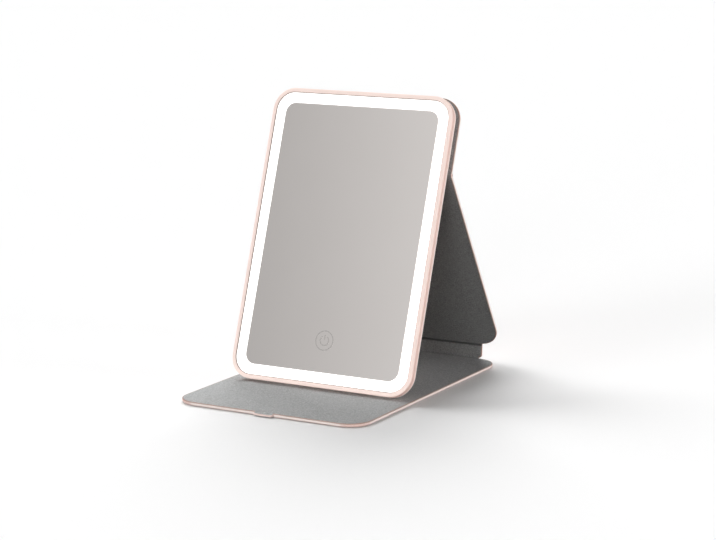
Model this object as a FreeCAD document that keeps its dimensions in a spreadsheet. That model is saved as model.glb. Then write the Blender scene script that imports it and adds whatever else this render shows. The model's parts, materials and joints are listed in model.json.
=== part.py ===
import FreeCAD, Part
import math
import os
import re

import Sketcher

# A lit makeup mirror in a folio cover that folds into an easel.
# Frame: X to the right, Y to the back, Z up, with the origin under the middle of the bounding box.
# Lengths are in millimetres and angles in degrees.
# Depths of the mirror are measured from the front of its frame towards its back.

SIZES = {
    # Mirror, seen from the front
    "mirror_width": 171.2,
    "mirror_height": 250.5,
    "mirror_corner_radius": 19.5,
    "bezel_width": 3.4,
    "light_band": 9.4,
    "pane_corner_radius": 9.0,
    # Mirror, front to back
    "pane_recess": 0.9,
    "glass_thickness": 1.6,
    "mirror_tape_thickness": 0.4,
    "mirror_tape_margin": 2.0,
    "lip_depth": 1.3,
    "frame_depth": 2.5,
    "frame_wall": 0.7,
    "frame_edge_radius": 0.9,
    "lip_edge_radius": 0.4,
    "lap_gap": 0.2,
    "seat_wall": 0.8,
    "cell_room": 0.55,
    "housing_wall": 1.6,
    "bevel_width": 6.0,
    "foot_edge_radius": 1.5,
    "back_edge_radius": 1.0,
    "fit_gap": 0.1,
    "cut_overrun": 1.0,
    # Tray that carries the glass, the diffuser and the lamps
    "tray_gap": 0.25,
    "tray_wall": 1.2,
    "tray_floor": 1.0,
    "plateau_thickness": 1.2,
    "plateau_margin": 1.5,
    # Lamps
    "strip_width": 3.2,
    "strip_thickness": 0.4,
    "strip_gap": 0.25,
    "chip_length": 2.2,
    "chip_width": 1.6,
    "chip_height": 0.6,
    "chip_pitch": 12.0,
    # Touch key
    "touch_height": 39.3,
    "touch_ring_diameter": 17.0,
    "touch_symbol_diameter": 8.8,
    "touch_line": 0.9,
    "touch_mark_thickness": 0.1,
    "touch_opening_angle": 70.0,
    "touch_bar_length": 4.4,
    "sensor_diameter": 18.0,
    "sensor_room": 1.0,
    "sensor_pin_diameter": 1.6,
    "sensor_pin_hole": 3.0,
    # Control board
    "circuit_width": 64.0,
    "circuit_height": 34.0,
    "circuit_thickness": 1.0,
    "circuit_bottom": 24.0,
    "circuit_standoff": 1.0,
    "circuit_screw_margin": 3.5,
    "circuit_boss_diameter": 4.5,
    "circuit_hole_diameter": 1.7,
    "circuit_pilot_diameter": 1.4,
    "circuit_pilot_depth": 1.8,
    "circuit_head_diameter": 3.0,
    "circuit_head_height": 0.9,
    "connector_width": 6.0,
    "connector_length": 5.0,
    "connector_height": 3.0,
    "connector_margin": 1.0,
    "controller_side": 7.0,
    "driver_side": 5.0,
    "chip_package_height": 1.0,
    "inductor_diameter": 6.5,
    "inductor_height": 2.6,
    # Wires
    "wire_diameter": 1.0,
    "wire_pitch": 2.2,
    "wire_lead_in": 0.2,
    "wire_hole": 1.6,
    "charge_lead_gap": 0.4,
    "charge_channel_width": 6.0,
    "charge_channel_room": 0.3,
    # Battery
    "battery_width": 70.0,
    "battery_height": 105.0,
    "battery_thickness": 4.4,
    "battery_gap": 22.0,
    "battery_corner_radius": 2.0,
    "battery_tape_thickness": 0.5,
    "battery_tape_margin": 10.0,
    # Charging socket
    "usb_width": 8.94,
    "usb_thickness": 3.2,
    "usb_corner_radius": 1.3,
    "usb_front_gap": 0.5,
    "usb_end_gap": 0.25,
    "usb_wall": 0.3,
    "usb_recess": 0.4,
    "usb_room": 0.2,
    "tongue_width": 6.7,
    "tongue_thickness": 0.7,
    "tongue_recess": 1.0,
    "tongue_root": 1.5,
    # Screws of the housing
    "screw_inset": 24.95,
    "screw_joint_drop": 0.6,
    "screw_boss_diameter": 5.0,
    "screw_hole_diameter": 2.2,
    "screw_pilot_diameter": 1.8,
    "screw_pilot_depth": 2.4,
    "screw_head_diameter": 4.0,
    "screw_head_height": 1.1,
    "screw_sink": 0.1,
    # Magnets that hold the foot on the base
    "magnet_length": 25.0,
    "foot_magnet_width": 3.2,
    "foot_magnet_thickness": 1.2,
    "foot_magnet_edge": 2.2,
    "base_magnet_width": 8.0,
    "base_magnet_floor": 0.3,
    # Cover
    "cover_side_overhang": 1.2,
    "cover_overhang": 1.0,
    "cover_corner_radius": 20.0,
    "skin_thickness": 0.8,
    "board_thickness": 1.8,
    "lining_thickness": 0.6,
    "skin_edge_radius": 1.6,
    "rim_edge_radius": 0.6,
    "spine_width": 137.0,
    "spine_board_thickness": 0.5,
    "spine_edge_radius": 0.6,
    "spine_corner_radius": 3.0,
    "fold_drop": 62.5,
    "fold_roll_radius": 0.5,
    "fold_clearance": 0.4,
    "fold_end_inset": 1.0,
    "tab_width": 18.0,
    "tab_reach": 2.7,
    "tab_thickness": 1.6,
    "tab_corner_radius": 2.5,
    "adhesive_thickness": 0.4,
    "adhesive_margin": 4.0,
    # Pose on the table
    "mirror_tilt": 18.9,
    "spine_lean": 2.8,
    "foot_clearance": 0.3,
    "closing_clearance": 0.3,
}

FORMULAS = {
    # Mirror, front to back
    "tray_front": "pane_recess + glass_thickness + mirror_tape_thickness",
    "plateau_back": "tray_front + plateau_thickness",
    "lap_depth": "frame_depth - lip_depth - lap_gap",
    "seat_depth": "tray_front + usb_thickness + usb_front_gap",
    "side_depth": "seat_depth + seat_wall",
    "pane_inset": "bezel_width + light_band",
    "flange_inset": "housing_wall + fit_gap",
    "tray_inset": "housing_wall + tray_gap",
    "trough_outer_inset": "tray_inset + tray_wall",
    "trough_inner_inset": "pane_inset - plateau_margin",
    "trough_depth": "seat_depth - tray_floor",
    "strip_outer_inset": "trough_inner_inset - strip_gap - strip_width",
    "strip_inner_inset": "trough_inner_inset - strip_gap",
    "strip_front": "trough_depth - strip_thickness",
    "circuit_front": "plateau_back + circuit_standoff",
    "circuit_back": "circuit_front + circuit_thickness",
    "battery_front": "plateau_back + battery_tape_thickness",
    "battery_back": "battery_front + battery_thickness",
    "battery_bottom": "circuit_bottom + circuit_height + battery_gap",
    "cell_inset": "min(bevel_width + housing_wall; strip_outer_inset)",
    "cell_depth": "max(battery_back; circuit_back + connector_height) + cell_room",
    "housing_depth": "cell_depth + housing_wall",
    "screw_side": "mirror_width / 2 - screw_inset",
    "screw_joint_depth": "seat_depth + screw_joint_drop",
    "wire_depth": "circuit_back + connector_height - wire_diameter - fit_gap",
    "wire_bend": "wire_depth - seat_depth - wire_lead_in",
    "usb_length": "strip_outer_inset - usb_end_gap - usb_recess",
    "charge_lead_inset": "usb_recess + usb_length - charge_lead_gap - wire_diameter",
    "charge_channel_depth": "wire_depth + wire_diameter / 2 - seat_depth + charge_channel_room",
    "usb_height": "circuit_bottom + circuit_height / 2 + connector_width / 2",
    "lining_depth": "housing_depth + adhesive_thickness",
    # Cover
    "panel_thickness": "skin_thickness + board_thickness + lining_thickness",
    "spine_thickness": "skin_thickness + spine_board_thickness + lining_thickness",
    "fold_setback": "fold_roll_radius + fold_clearance",
    "cover_width": "mirror_width + 2 * cover_side_overhang",
    "cover_length": "mirror_height + 2 * cover_overhang",
    "fold_height": "mirror_height - fold_drop",
    "base_magnet_thickness": "board_thickness - base_magnet_floor",
    "magnet_run": "mirror_width - 2 * mirror_corner_radius - magnet_length",
    "upper_length": "mirror_height + cover_overhang - fold_height - fold_setback",
    "leg_length": "fold_height + cover_overhang - fold_setback",
    "leg_run": "fold_height + cover_overhang + fold_setback",
    "leg_step": "panel_thickness - 2 * fold_roll_radius",
    "spine_reach": "lining_depth + closing_clearance + 2 * fold_roll_radius",
    "spine_length": "spine_reach - 2 * fold_setback",
    # Places of the folds and of the mirror's foot, from the middle of the base's front edge
    "tilt": "mirror_tilt * 1 deg",
    "spine_angle": "spine_lean * 1 deg",
    "fold_depth": "lining_depth + panel_thickness - fold_roll_radius",
    "base_fold_y": "cover_length + fold_setback",
    "base_fold_z": "panel_thickness - fold_roll_radius",
    "leg_fold_y": "base_fold_y + spine_reach * sin(spine_angle)",
    "leg_fold_z": "base_fold_z + spine_reach * cos(spine_angle)",
    "foot_corner": "90 deg + atan((housing_depth - side_depth) / bevel_width)",
    "foot_round_depth": "side_depth - foot_edge_radius / tan(foot_corner / 2)",
    "foot_drop": "foot_edge_radius * (1 - cos(tilt)) + foot_round_depth * sin(tilt)",
    "foot_z": "panel_thickness + foot_clearance + foot_drop",
    "top_fold_z": "foot_z + fold_height * cos(tilt) - fold_depth * sin(tilt)",
    "leg_span": "sqrt(leg_run * leg_run + leg_step * leg_step)",
    "leg_angle": "atan(leg_step / leg_run) + acos((top_fold_z - leg_fold_z) / leg_span)",
    "top_fold_y": "leg_fold_y - leg_run * sin(leg_angle) + leg_step * cos(leg_angle)",
    "foot_y": "top_fold_y - fold_height * sin(tilt) - fold_depth * cos(tilt)",
    "magnet_y": "foot_y + foot_edge_radius * sin(tilt) + foot_round_depth * cos(tilt)",
}

# Middles of the magnets as shares of the run that is left for them along the mirror's straight foot
MAGNET_SHARES = (-1 / 2, -1 / 6, 1 / 6, 1 / 2)

# Rows of the housing screws as shares of the mirror's height
SCREW_ROW_SHARES = (0.12, 0.5, 0.84)

# Places on the control board, as shares of its width and height from its lower middle
BATTERY_PLUG_SHARE = 0.16
LED_PLUG_SHARE = 0.22
CONTROLLER_SHARES = (-0.14, 0.62)
DRIVER_SHARES = (0.05, 0.36)
INDUCTOR_SHARES = (0.32, 0.5)

# How near two heights are taken as one, as a share of the fit gap
NEAR_SHARE = 0.1

# How far a wire's volume may be from its section times its length
WIRE_VOLUME_SHARE = 0.01

# Cross recess of a screw, as shares of the head's diameter and height
RECESS_LENGTH_SHARE = 0.6
RECESS_WIDTH_SHARE = 0.14
RECESS_DEPTH_SHARE = 0.55

doc = FreeCAD.newDocument("makeup_mirror")
sheet = doc.addObject("Spreadsheet::Sheet", "Sizes")
cells = {name: str(number) for name, number in SIZES.items()}
cells.update({name: "=" + formula for name, formula in FORMULAS.items()})
for row, (alias, content) in enumerate(cells.items(), start=1):
    sheet.set(f"A{row}", alias)
    sheet.set(f"B{row}", content)
    sheet.setAlias(f"B{row}", alias)
doc.recompute()

nodes = []


def size(alias):
    """The present number of one cell."""
    content = sheet.get(alias)
    return float(getattr(content, "Value", content))


def bound(formula):
    """A formula of cell names, written so that any object of the document can use it."""
    def with_sheet(match):
        word = match.group()
        return f"Sizes.{word}" if word in cells else word

    return re.sub(r"[a-z][a-z_]*", with_sheet, formula)


def number_of(owner, formula):
    """The number that a formula of cell names gives now."""
    content = owner.evalExpression(bound(formula))
    return float(getattr(content, "Value", content))


# Sketches

def constrain(sketch, name, constraint, formula):
    """Adds a named constraint whose size follows a formula of cell names."""
    index = sketch.addConstraint(constraint)
    sketch.renameConstraint(index, name)
    sketch.setExpression("Constraints." + name, bound(formula))


def hold(sketch, name, direction, geometry, point, formula):
    """Holds a point at a signed distance from the sketch's origin, or on its axis."""
    if formula == "0":
        axis = -1 if direction == "DistanceY" else -2
        sketch.addConstraint(Sketcher.Constraint("PointOnObject", geometry, point, axis))
        return
    distance = number_of(sketch, formula)
    if distance < 0:
        constraint = Sketcher.Constraint(direction, geometry, point, -1, 1, -distance)
        constrain(sketch, name, constraint, f"-({formula})")
    else:
        constraint = Sketcher.Constraint(direction, -1, 1, geometry, point, distance)
        constrain(sketch, name, constraint, formula)


def new_sketch(body, name, depth="0", role="XY_Plane"):
    """A sketch on one of the body's own planes, moved against that plane's normal by a depth."""
    sketch = body.newObject("Sketcher::SketchObject", f"{body.Name}_{name}")
    origin_plane = next(feature for feature in body.Origin.OriginFeatures if feature.Role == role)
    sketch.AttachmentSupport = [(origin_plane, "")]
    sketch.MapMode = "FlatFace"
    sketch.setExpression("AttachmentOffset.Base.z", bound(f"-({depth})"))
    return sketch


def outline(sketch, name, width, height, bottom="0", low_radius="0", high_radius="0"):
    """A rectangle centred across the sketch, its corners rounded where a radius is given."""
    half = number_of(sketch, width) / 2
    low = number_of(sketch, bottom)
    high = low + number_of(sketch, height)
    low_round = number_of(sketch, low_radius)
    high_round = number_of(sketch, high_radius)
    corners = (
        (half, low, low_round, -math.pi / 2),
        (half, high, high_round, 0),
        (-half, high, high_round, math.pi / 2),
        (-half, low, low_round, math.pi),
    )
    sides = []
    for index, (x, y, radius, _) in enumerate(corners):
        before_x, before_y, before_radius, _ = corners[index - 1]
        length = math.hypot(x - before_x, y - before_y)
        along = FreeCAD.Vector((x - before_x) / length, (y - before_y) / length, 0)
        start = FreeCAD.Vector(before_x, before_y, 0) + along * before_radius
        end = FreeCAD.Vector(x, y, 0) - along * radius
        sides.append(sketch.addGeometry(Part.LineSegment(start, end)))
    arcs = []
    for index, (x, y, radius, start_angle) in enumerate(corners):
        following = sides[(index + 1) % len(sides)]
        if radius == 0:
            sketch.addConstraint(Sketcher.Constraint("Coincident", sides[index], 2, following, 1))
            continue
        centre = FreeCAD.Vector(x - math.copysign(radius, x), y + (radius if y == low else -radius), 0)
        full_circle = Part.Circle(centre, FreeCAD.Vector(0, 0, 1), radius)
        arc = sketch.addGeometry(Part.ArcOfCircle(full_circle, start_angle, start_angle + math.pi / 2))
        sketch.addConstraint(Sketcher.Constraint("Tangent", sides[index], 2, arc, 1))
        sketch.addConstraint(Sketcher.Constraint("Tangent", arc, 2, following, 1))
        formula = low_radius if y == low else high_radius
        arcs.append((arc, formula))
    bottom_side, right_side, top_side, left_side = sides
    sketch.addConstraint(Sketcher.Constraint("Horizontal", top_side))
    for side in (left_side, right_side):
        sketch.addConstraint(Sketcher.Constraint("Vertical", side))
    # The symmetry levels the bottom side, or makes the last lower corner as round as the first
    if low_round > 0:
        sketch.addConstraint(Sketcher.Constraint("Horizontal", bottom_side))
        arcs.pop()
    for index, (arc, formula) in enumerate(arcs):
        radius = number_of(sketch, formula)
        constrain(sketch, f"{name}_radius_{index}", Sketcher.Constraint("Radius", arc, radius), formula)
    sketch.addConstraint(Sketcher.Constraint("Symmetric", left_side, 2, right_side, 1, -2))
    across = Sketcher.Constraint("DistanceX", left_side, 2, right_side, 1, 2 * half)
    constrain(sketch, f"{name}_width", across, width)
    upward = Sketcher.Constraint("DistanceY", bottom_side, 1, top_side, 1, high - low)
    constrain(sketch, f"{name}_height", upward, height)
    hold(sketch, f"{name}_bottom", "DistanceY", bottom_side, 1, bottom)


def inset_outline(sketch, name, inset):
    """The mirror's outline moved inwards by an inset."""
    outline(
        sketch,
        name,
        f"mirror_width - 2 * ({inset})",
        f"mirror_height - 2 * ({inset})",
        inset,
        f"mirror_corner_radius - ({inset})",
        f"mirror_corner_radius - ({inset})",
    )


def pane_outline(sketch, name, inset):
    """The glass pane's outline moved inwards by an inset."""
    outline(
        sketch,
        name,
        f"mirror_width - 2 * (pane_inset + ({inset}))",
        f"mirror_height - 2 * (pane_inset + ({inset}))",
        f"pane_inset + ({inset})",
        f"pane_corner_radius - ({inset})",
        f"pane_corner_radius - ({inset})",
    )


def rectangle(sketch, name, left, bottom, width, height):
    """A plain rectangle placed by its lower left corner."""
    x = number_of(sketch, left)
    y = number_of(sketch, bottom)
    right = x + number_of(sketch, width)
    top = y + number_of(sketch, height)
    points = [FreeCAD.Vector(*point) for point in ((x, y, 0), (right, y, 0), (right, top, 0), (x, top, 0))]
    sides = []
    for index, point in enumerate(points):
        sides.append(sketch.addGeometry(Part.LineSegment(point, points[(index + 1) % len(points)])))
    for index, side in enumerate(sides):
        sketch.addConstraint(Sketcher.Constraint("Coincident", side, 2, sides[(index + 1) % len(sides)], 1))
        sketch.addConstraint(Sketcher.Constraint("Vertical" if index % 2 else "Horizontal", side))
    across = Sketcher.Constraint("DistanceX", sides[0], 1, sides[0], 2, right - x)
    constrain(sketch, f"{name}_width", across, width)
    upward = Sketcher.Constraint("DistanceY", sides[1], 1, sides[1], 2, top - y)
    constrain(sketch, f"{name}_height", upward, height)
    hold(sketch, f"{name}_left", "DistanceX", sides[0], 1, left)
    hold(sketch, f"{name}_bottom", "DistanceY", sides[0], 1, bottom)


def circle(sketch, name, x, y, diameter):
    """A circle placed by its centre."""
    centre = FreeCAD.Vector(number_of(sketch, x), number_of(sketch, y), 0)
    radius = number_of(sketch, diameter) / 2
    index = sketch.addGeometry(Part.Circle(centre, FreeCAD.Vector(0, 0, 1), radius))
    constrain(sketch, f"{name}_diameter", Sketcher.Constraint("Diameter", index, 2 * radius), diameter)
    hold(sketch, f"{name}_x", "DistanceX", index, 3, x)
    hold(sketch, f"{name}_y", "DistanceY", index, 3, y)


# Features

def new_body(label):
    """An empty body whose label names the sub-part."""
    body = doc.addObject("PartDesign::Body", label)
    body.Label = label
    nodes.append(body)
    return body


def pad(body, sketch, length, reverse=False):
    """Adds material along the sketch's normal, or against it."""
    feature = body.newObject("PartDesign::Pad", f"{sketch.Name}_pad")
    feature.Profile = sketch
    feature.setExpression("Length", bound(length))
    feature.Reversed = reverse
    doc.recompute()
    return feature


def pocket(body, sketch, length, reverse=False):
    """Cuts against the sketch's normal, or along it, and makes sure that something is cut."""
    before = body.Shape.Volume
    feature = body.newObject("PartDesign::Pocket", f"{sketch.Name}_pocket")
    feature.Profile = sketch
    feature.setExpression("Length", bound(length))
    feature.Reversed = reverse
    doc.recompute()
    if not body.Shape.Volume < before:
        raise RuntimeError(f"{feature.Name} cuts nothing")
    return feature


def fillet(body, base, edges, radius):
    """Rounds the named edges of a feature."""
    feature = body.newObject("PartDesign::Fillet", f"{base.Name}_fillet")
    feature.Base = (base, edges)
    feature.setExpression("Radius", bound(radius))
    doc.recompute()
    return feature


def level_edges(feature, height, within=None):
    """Names of a feature's edges that lie flat at one height, and within a box where one is given."""
    near = size("fit_gap") * NEAR_SHARE
    names = []
    for index, edge in enumerate(feature.Shape.Edges, start=1):
        box = edge.BoundBox
        level = abs(box.ZMin - height) < near and abs(box.ZMax - height) < near
        if within is not None:
            room = FreeCAD.BoundBox(within)
            room.enlarge(near)
            level = level and room.isInside(box)
        if level:
            names.append(f"Edge{index}")
    return names


def group(label, shapes):
    """One sub-part made of several like solids."""
    feature = doc.addObject("Part::Feature", label)
    feature.Label = label
    feature.Shape = Part.makeCompound(shapes)
    nodes.append(feature)
    return feature


def place(item, frame, x=0, y=0, z=0):
    """Puts a sub-part at a place of one of the frames."""
    item.Placement = frame.multiply(FreeCAD.Placement(FreeCAD.Vector(x, y, z), FreeCAD.Rotation()))


# Frames of the four rigid bodies, each turned about X

def turned_frame(y, z, angle):
    """A frame at a place of the middle plane, turned about X."""
    turn = FreeCAD.Rotation(FreeCAD.Vector(1, 0, 0), angle)
    return FreeCAD.Placement(FreeCAD.Vector(0, y, z), turn)


right_angle = 90
base_frame = turned_frame(0, 0, 0)
mirror_frame = turned_frame(size("foot_y"), size("foot_z"), right_angle - size("mirror_tilt"))
spine_frame = turned_frame(size("base_fold_y"), size("base_fold_z"), right_angle - size("spine_lean"))
leg_frame = turned_frame(size("leg_fold_y"), size("leg_fold_z"), right_angle + size("leg_angle"))


# Cover panels: a skin turned up round the edge, a board in it and a lining on top

def panel(name, width, length, low_radius, high_radius, core, edge_radius="skin_edge_radius"):
    """The three layers of a panel, with the outer face on the local XY plane and the lining on top."""
    thickness = f"skin_thickness + {core} + lining_thickness"
    inset = "skin_thickness + fit_gap"

    def rounded(radius, gap):
        return "0" if radius == "0" else f"{radius} - ({gap})"

    skin = new_body(f"{name}_skin")
    sketch = new_sketch(skin, "outline")
    outline(sketch, "edge", width, length, "0", low_radius, high_radius)
    block = pad(skin, sketch, thickness)
    block = fillet(skin, block, level_edges(block, 0), edge_radius)
    top = number_of(skin, thickness)
    fillet(skin, block, level_edges(block, top), "rim_edge_radius")
    sketch = new_sketch(skin, "tray", f"-({thickness})")
    hollow = "skin_thickness"
    outline(
        sketch,
        "hollow",
        f"{width} - 2 * {hollow}",
        f"{length} - 2 * {hollow}",
        hollow,
        rounded(low_radius, hollow),
        rounded(high_radius, hollow),
    )
    pocket(skin, sketch, f"{core} + lining_thickness")

    layers = []
    for layer, start, depth in (
        ("board", "skin_thickness", core),
        ("lining", f"skin_thickness + {core}", "lining_thickness"),
    ):
        body = new_body(f"{name}_{layer}")
        sketch = new_sketch(body, "outline", f"-({start})")
        outline(
            sketch,
            "edge",
            f"{width} - 2 * ({inset})",
            f"{length} - 2 * ({inset})",
            inset,
            rounded(low_radius, inset),
            rounded(high_radius, inset),
        )
        pad(body, sketch, depth)
        layers.append(body)
    return [skin] + layers


def make_base():
    """The panel on the table, with the pull tab in its front edge and magnets under the mirror's foot."""
    radius = "cover_corner_radius"
    skin, board, lining = panel("base", "cover_width", "cover_length", radius, radius, "board_thickness")
    tab_z = "(panel_thickness - tab_thickness) / 2"
    sketch = new_sketch(skin, "tab_slot", "0", "XZ_Plane")
    outline(sketch, "slot", "tab_width + 2 * fit_gap", "tab_thickness + 2 * fit_gap", f"{tab_z} - fit_gap")
    pocket(skin, sketch, "skin_thickness + fit_gap")

    tab = new_body("pull_tab")
    sketch = new_sketch(tab, "outline")
    outline(sketch, "edge", "tab_width", "tab_reach + skin_thickness + fit_gap", "0", "tab_corner_radius")
    pad(tab, sketch, "tab_thickness")

    sketch = new_sketch(board, "magnet_seats", "-(skin_thickness + board_thickness)")
    width = "base_magnet_width + 2 * fit_gap"
    for index, share in enumerate(MAGNET_SHARES):
        left = f"magnet_run * {share} - magnet_length / 2 - fit_gap"
        bottom = "magnet_y - base_magnet_width / 2 - fit_gap"
        rectangle(sketch, f"seat_{index}", left, bottom, "magnet_length + 2 * fit_gap", width)
    pocket(board, sketch, "base_magnet_thickness")

    magnets = []
    for share in MAGNET_SHARES:
        corner = FreeCAD.Vector(
            size("magnet_run") * share - size("magnet_length") / 2,
            size("magnet_y") - size("base_magnet_width") / 2,
            size("skin_thickness") + size("board_thickness") - size("base_magnet_thickness"),
        )
        lengths = (size("magnet_length"), size("base_magnet_width"), size("base_magnet_thickness"))
        magnets.append(Part.makeBox(*lengths, corner))
    magnet_row = group("base_magnets", magnets)

    for item in (skin, board, lining, magnet_row):
        place(item, base_frame)
    place(tab, base_frame, 0, -size("tab_reach"), number_of(tab, tab_z))


def fold_roll(label, length, frame, y, z):
    """The round crease of a fold, on the axis about which the two panels turn."""
    roll = doc.addObject("Part::Cylinder", label)
    roll.Label = label
    roll.setExpression("Radius", bound("fold_roll_radius"))
    roll.setExpression("Height", bound(length))
    along_x = FreeCAD.Rotation(FreeCAD.Vector(0, 1, 0), right_angle)
    start = FreeCAD.Placement(FreeCAD.Vector(-number_of(roll, length) / 2, y, z), along_x)
    roll.Placement = frame.multiply(start)
    nodes.append(roll)


def make_spine():
    """The narrow strip between base and leg, with the creases at both its edges."""
    core = "spine_board_thickness"
    corner = "spine_corner_radius"
    layers = panel("spine", "spine_width", "spine_length", corner, "0", core, "spine_edge_radius")
    outer = size("fold_roll_radius") - size("spine_thickness")
    for item in layers:
        place(item, spine_frame, 0, size("fold_setback"), outer)
    fold_roll("base_fold", f"spine_width - 2 * {corner}", spine_frame, 0, 0)
    fold_roll("leg_fold", "spine_width", spine_frame, size("spine_reach"), 0)


def make_leg():
    """The rear leg, with the crease at its upper edge."""
    layers = panel("leg", "cover_width", "leg_length", "cover_corner_radius", "0", "board_thickness")
    outer = size("fold_roll_radius") - size("panel_thickness")
    for item in layers:
        place(item, leg_frame, 0, size("fold_setback"), outer)
    crease_length = "cover_width - 2 * fold_end_inset"
    fold_roll("top_fold", crease_length, leg_frame, size("leg_run"), -size("leg_step"))


def make_upper_panel():
    """The panel on the mirror's back and the adhesive sheet that holds it there."""
    layers = panel("upper", "cover_width", "upper_length", "0", "cover_corner_radius", "board_thickness")
    for item in layers:
        height = size("fold_height") + size("fold_setback")
        place(item, mirror_frame, 0, height, -size("lining_depth") - size("panel_thickness"))

    adhesive = new_body("adhesive_sheet")
    sketch = new_sketch(adhesive, "outline", "lining_depth")
    margin = "bevel_width + adhesive_margin"
    outline(
        sketch,
        "edge",
        f"mirror_width - 2 * ({margin})",
        f"mirror_height - fold_height - fold_setback - adhesive_margin - ({margin})",
        "fold_height + fold_setback + adhesive_margin",
        "0",
        f"mirror_corner_radius - ({margin})",
    )
    pad(adhesive, sketch, "adhesive_thickness")
    place(adhesive, mirror_frame)


# Mirror: frame, housing and what shows at the front

def make_front_frame():
    """The ring round the lit band: a lip in front and a thin wall that laps over the rear cover."""
    frame = new_body("front_frame")
    sketch = new_sketch(frame, "lip")
    inset_outline(sketch, "outside", "0")
    lip = pad(frame, sketch, "lip_depth", True)
    fillet(frame, lip, level_edges(lip, 0), "frame_edge_radius")
    sketch = new_sketch(frame, "opening")
    inset_outline(sketch, "edge", "bezel_width")
    lip = pocket(frame, sketch, "lip_depth")
    fillet(frame, lip, level_edges(lip, 0, sketch.Shape.BoundBox), "lip_edge_radius")
    sketch = new_sketch(frame, "wall", "lip_depth")
    inset_outline(sketch, "outside", "0")
    inset_outline(sketch, "inside", "frame_wall")
    pad(frame, sketch, "frame_depth - lip_depth", True)
    place(frame, mirror_frame)


def screw_places():
    """Middles of the housing screws, as formulas across and up the mirror."""
    for share in SCREW_ROW_SHARES:
        for side in (-1, 1):
            yield f"{side} * screw_side", f"mirror_height * {share}"


def make_rear_cover():
    """The back shell: straight sides, a bevelled back, a seat for the tray and a hollow for the battery."""
    cover = new_body("rear_cover")
    sketch = new_sketch(cover, "side", "frame_depth")
    inset_outline(sketch, "outside", "0")
    pad(cover, sketch, "side_depth - frame_depth", True)
    edge_sketch = new_sketch(cover, "bevel_start", "side_depth")
    inset_outline(edge_sketch, "outside", "0")
    back_sketch = new_sketch(cover, "back", "housing_depth")
    inset_outline(back_sketch, "outside", "bevel_width")
    bevel = cover.newObject("PartDesign::AdditiveLoft", "rear_cover_bevel")
    bevel.Profile = edge_sketch
    bevel.Sections = [back_sketch]
    bevel.Ruled = True
    doc.recompute()
    shell = fillet(cover, bevel, level_edges(bevel, -size("side_depth")), "foot_edge_radius")
    fillet(cover, shell, level_edges(shell, -size("housing_depth")), "back_edge_radius")

    sketch = new_sketch(cover, "lap", "frame_depth")
    inset_outline(sketch, "outside", "frame_wall + fit_gap")
    inset_outline(sketch, "inside", "housing_wall")
    pad(cover, sketch, "lap_depth")
    sketch = new_sketch(cover, "tray_room", "frame_depth")
    inset_outline(sketch, "edge", "housing_wall")
    pocket(cover, sketch, "seat_depth - frame_depth")
    sketch = new_sketch(cover, "cell_room", "seat_depth")
    inset_outline(sketch, "edge", "cell_inset")
    pocket(cover, sketch, "cell_depth - seat_depth")

    sketch = new_sketch(cover, "screw_bosses", "cell_depth")
    for index, (x, y) in enumerate(screw_places()):
        circle(sketch, f"boss_{index}", x, y, "screw_boss_diameter")
    pad(cover, sketch, "cell_depth - screw_joint_depth")
    sketch = new_sketch(cover, "screw_holes", "housing_depth")
    for index, (x, y) in enumerate(screw_places()):
        circle(sketch, f"hole_{index}", x, y, "screw_hole_diameter")
    pocket(cover, sketch, "housing_depth - screw_joint_depth + cut_overrun", True)
    sketch = new_sketch(cover, "screw_sinks", "housing_depth")
    for index, (x, y) in enumerate(screw_places()):
        circle(sketch, f"sink_{index}", x, y, "screw_head_diameter + 2 * fit_gap")
    pocket(cover, sketch, "screw_head_height + screw_sink", True)

    sketch = new_sketch(cover, "usb_mouth", "mirror_width / 2 - housing_wall - fit_gap", "YZ_Plane")
    width = "usb_width + 2 * usb_room"
    height = "usb_thickness + 2 * usb_room"
    rectangle(sketch, "mouth", f"usb_height - ({width}) / 2", "-(seat_depth + usb_room)", width, height)
    pocket(cover, sketch, "housing_wall + cut_overrun")
    sketch = new_sketch(cover, "charge_channel", "seat_depth")
    left = "-(mirror_width / 2) + charge_lead_inset - wire_diameter"
    length = "cell_inset - charge_lead_inset + wire_diameter + cut_overrun"
    bottom = "usb_height - charge_channel_width / 2"
    rectangle(sketch, "channel", left, bottom, length, "charge_channel_width")
    pocket(cover, sketch, "charge_channel_depth")

    sketch = new_sketch(cover, "magnet_seats", "seat_depth")
    for index, share in enumerate(MAGNET_SHARES):
        left = f"magnet_run * {share} - magnet_length / 2 - fit_gap"
        bottom = "foot_magnet_edge - fit_gap"
        width = "magnet_length + 2 * fit_gap"
        rectangle(sketch, f"seat_{index}", left, bottom, width, "foot_magnet_width + 2 * fit_gap")
    pocket(cover, sketch, "foot_magnet_thickness")
    place(cover, mirror_frame)

    magnets = []
    for share in MAGNET_SHARES:
        corner = FreeCAD.Vector(
            size("magnet_run") * share - size("magnet_length") / 2,
            size("foot_magnet_edge"),
            -size("seat_depth") - size("foot_magnet_thickness"),
        )
        lengths = (size("magnet_length"), size("foot_magnet_width"), size("foot_magnet_thickness"))
        magnets.append(Part.makeBox(*lengths, corner))
    place(group("foot_magnets", magnets), mirror_frame)


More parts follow.
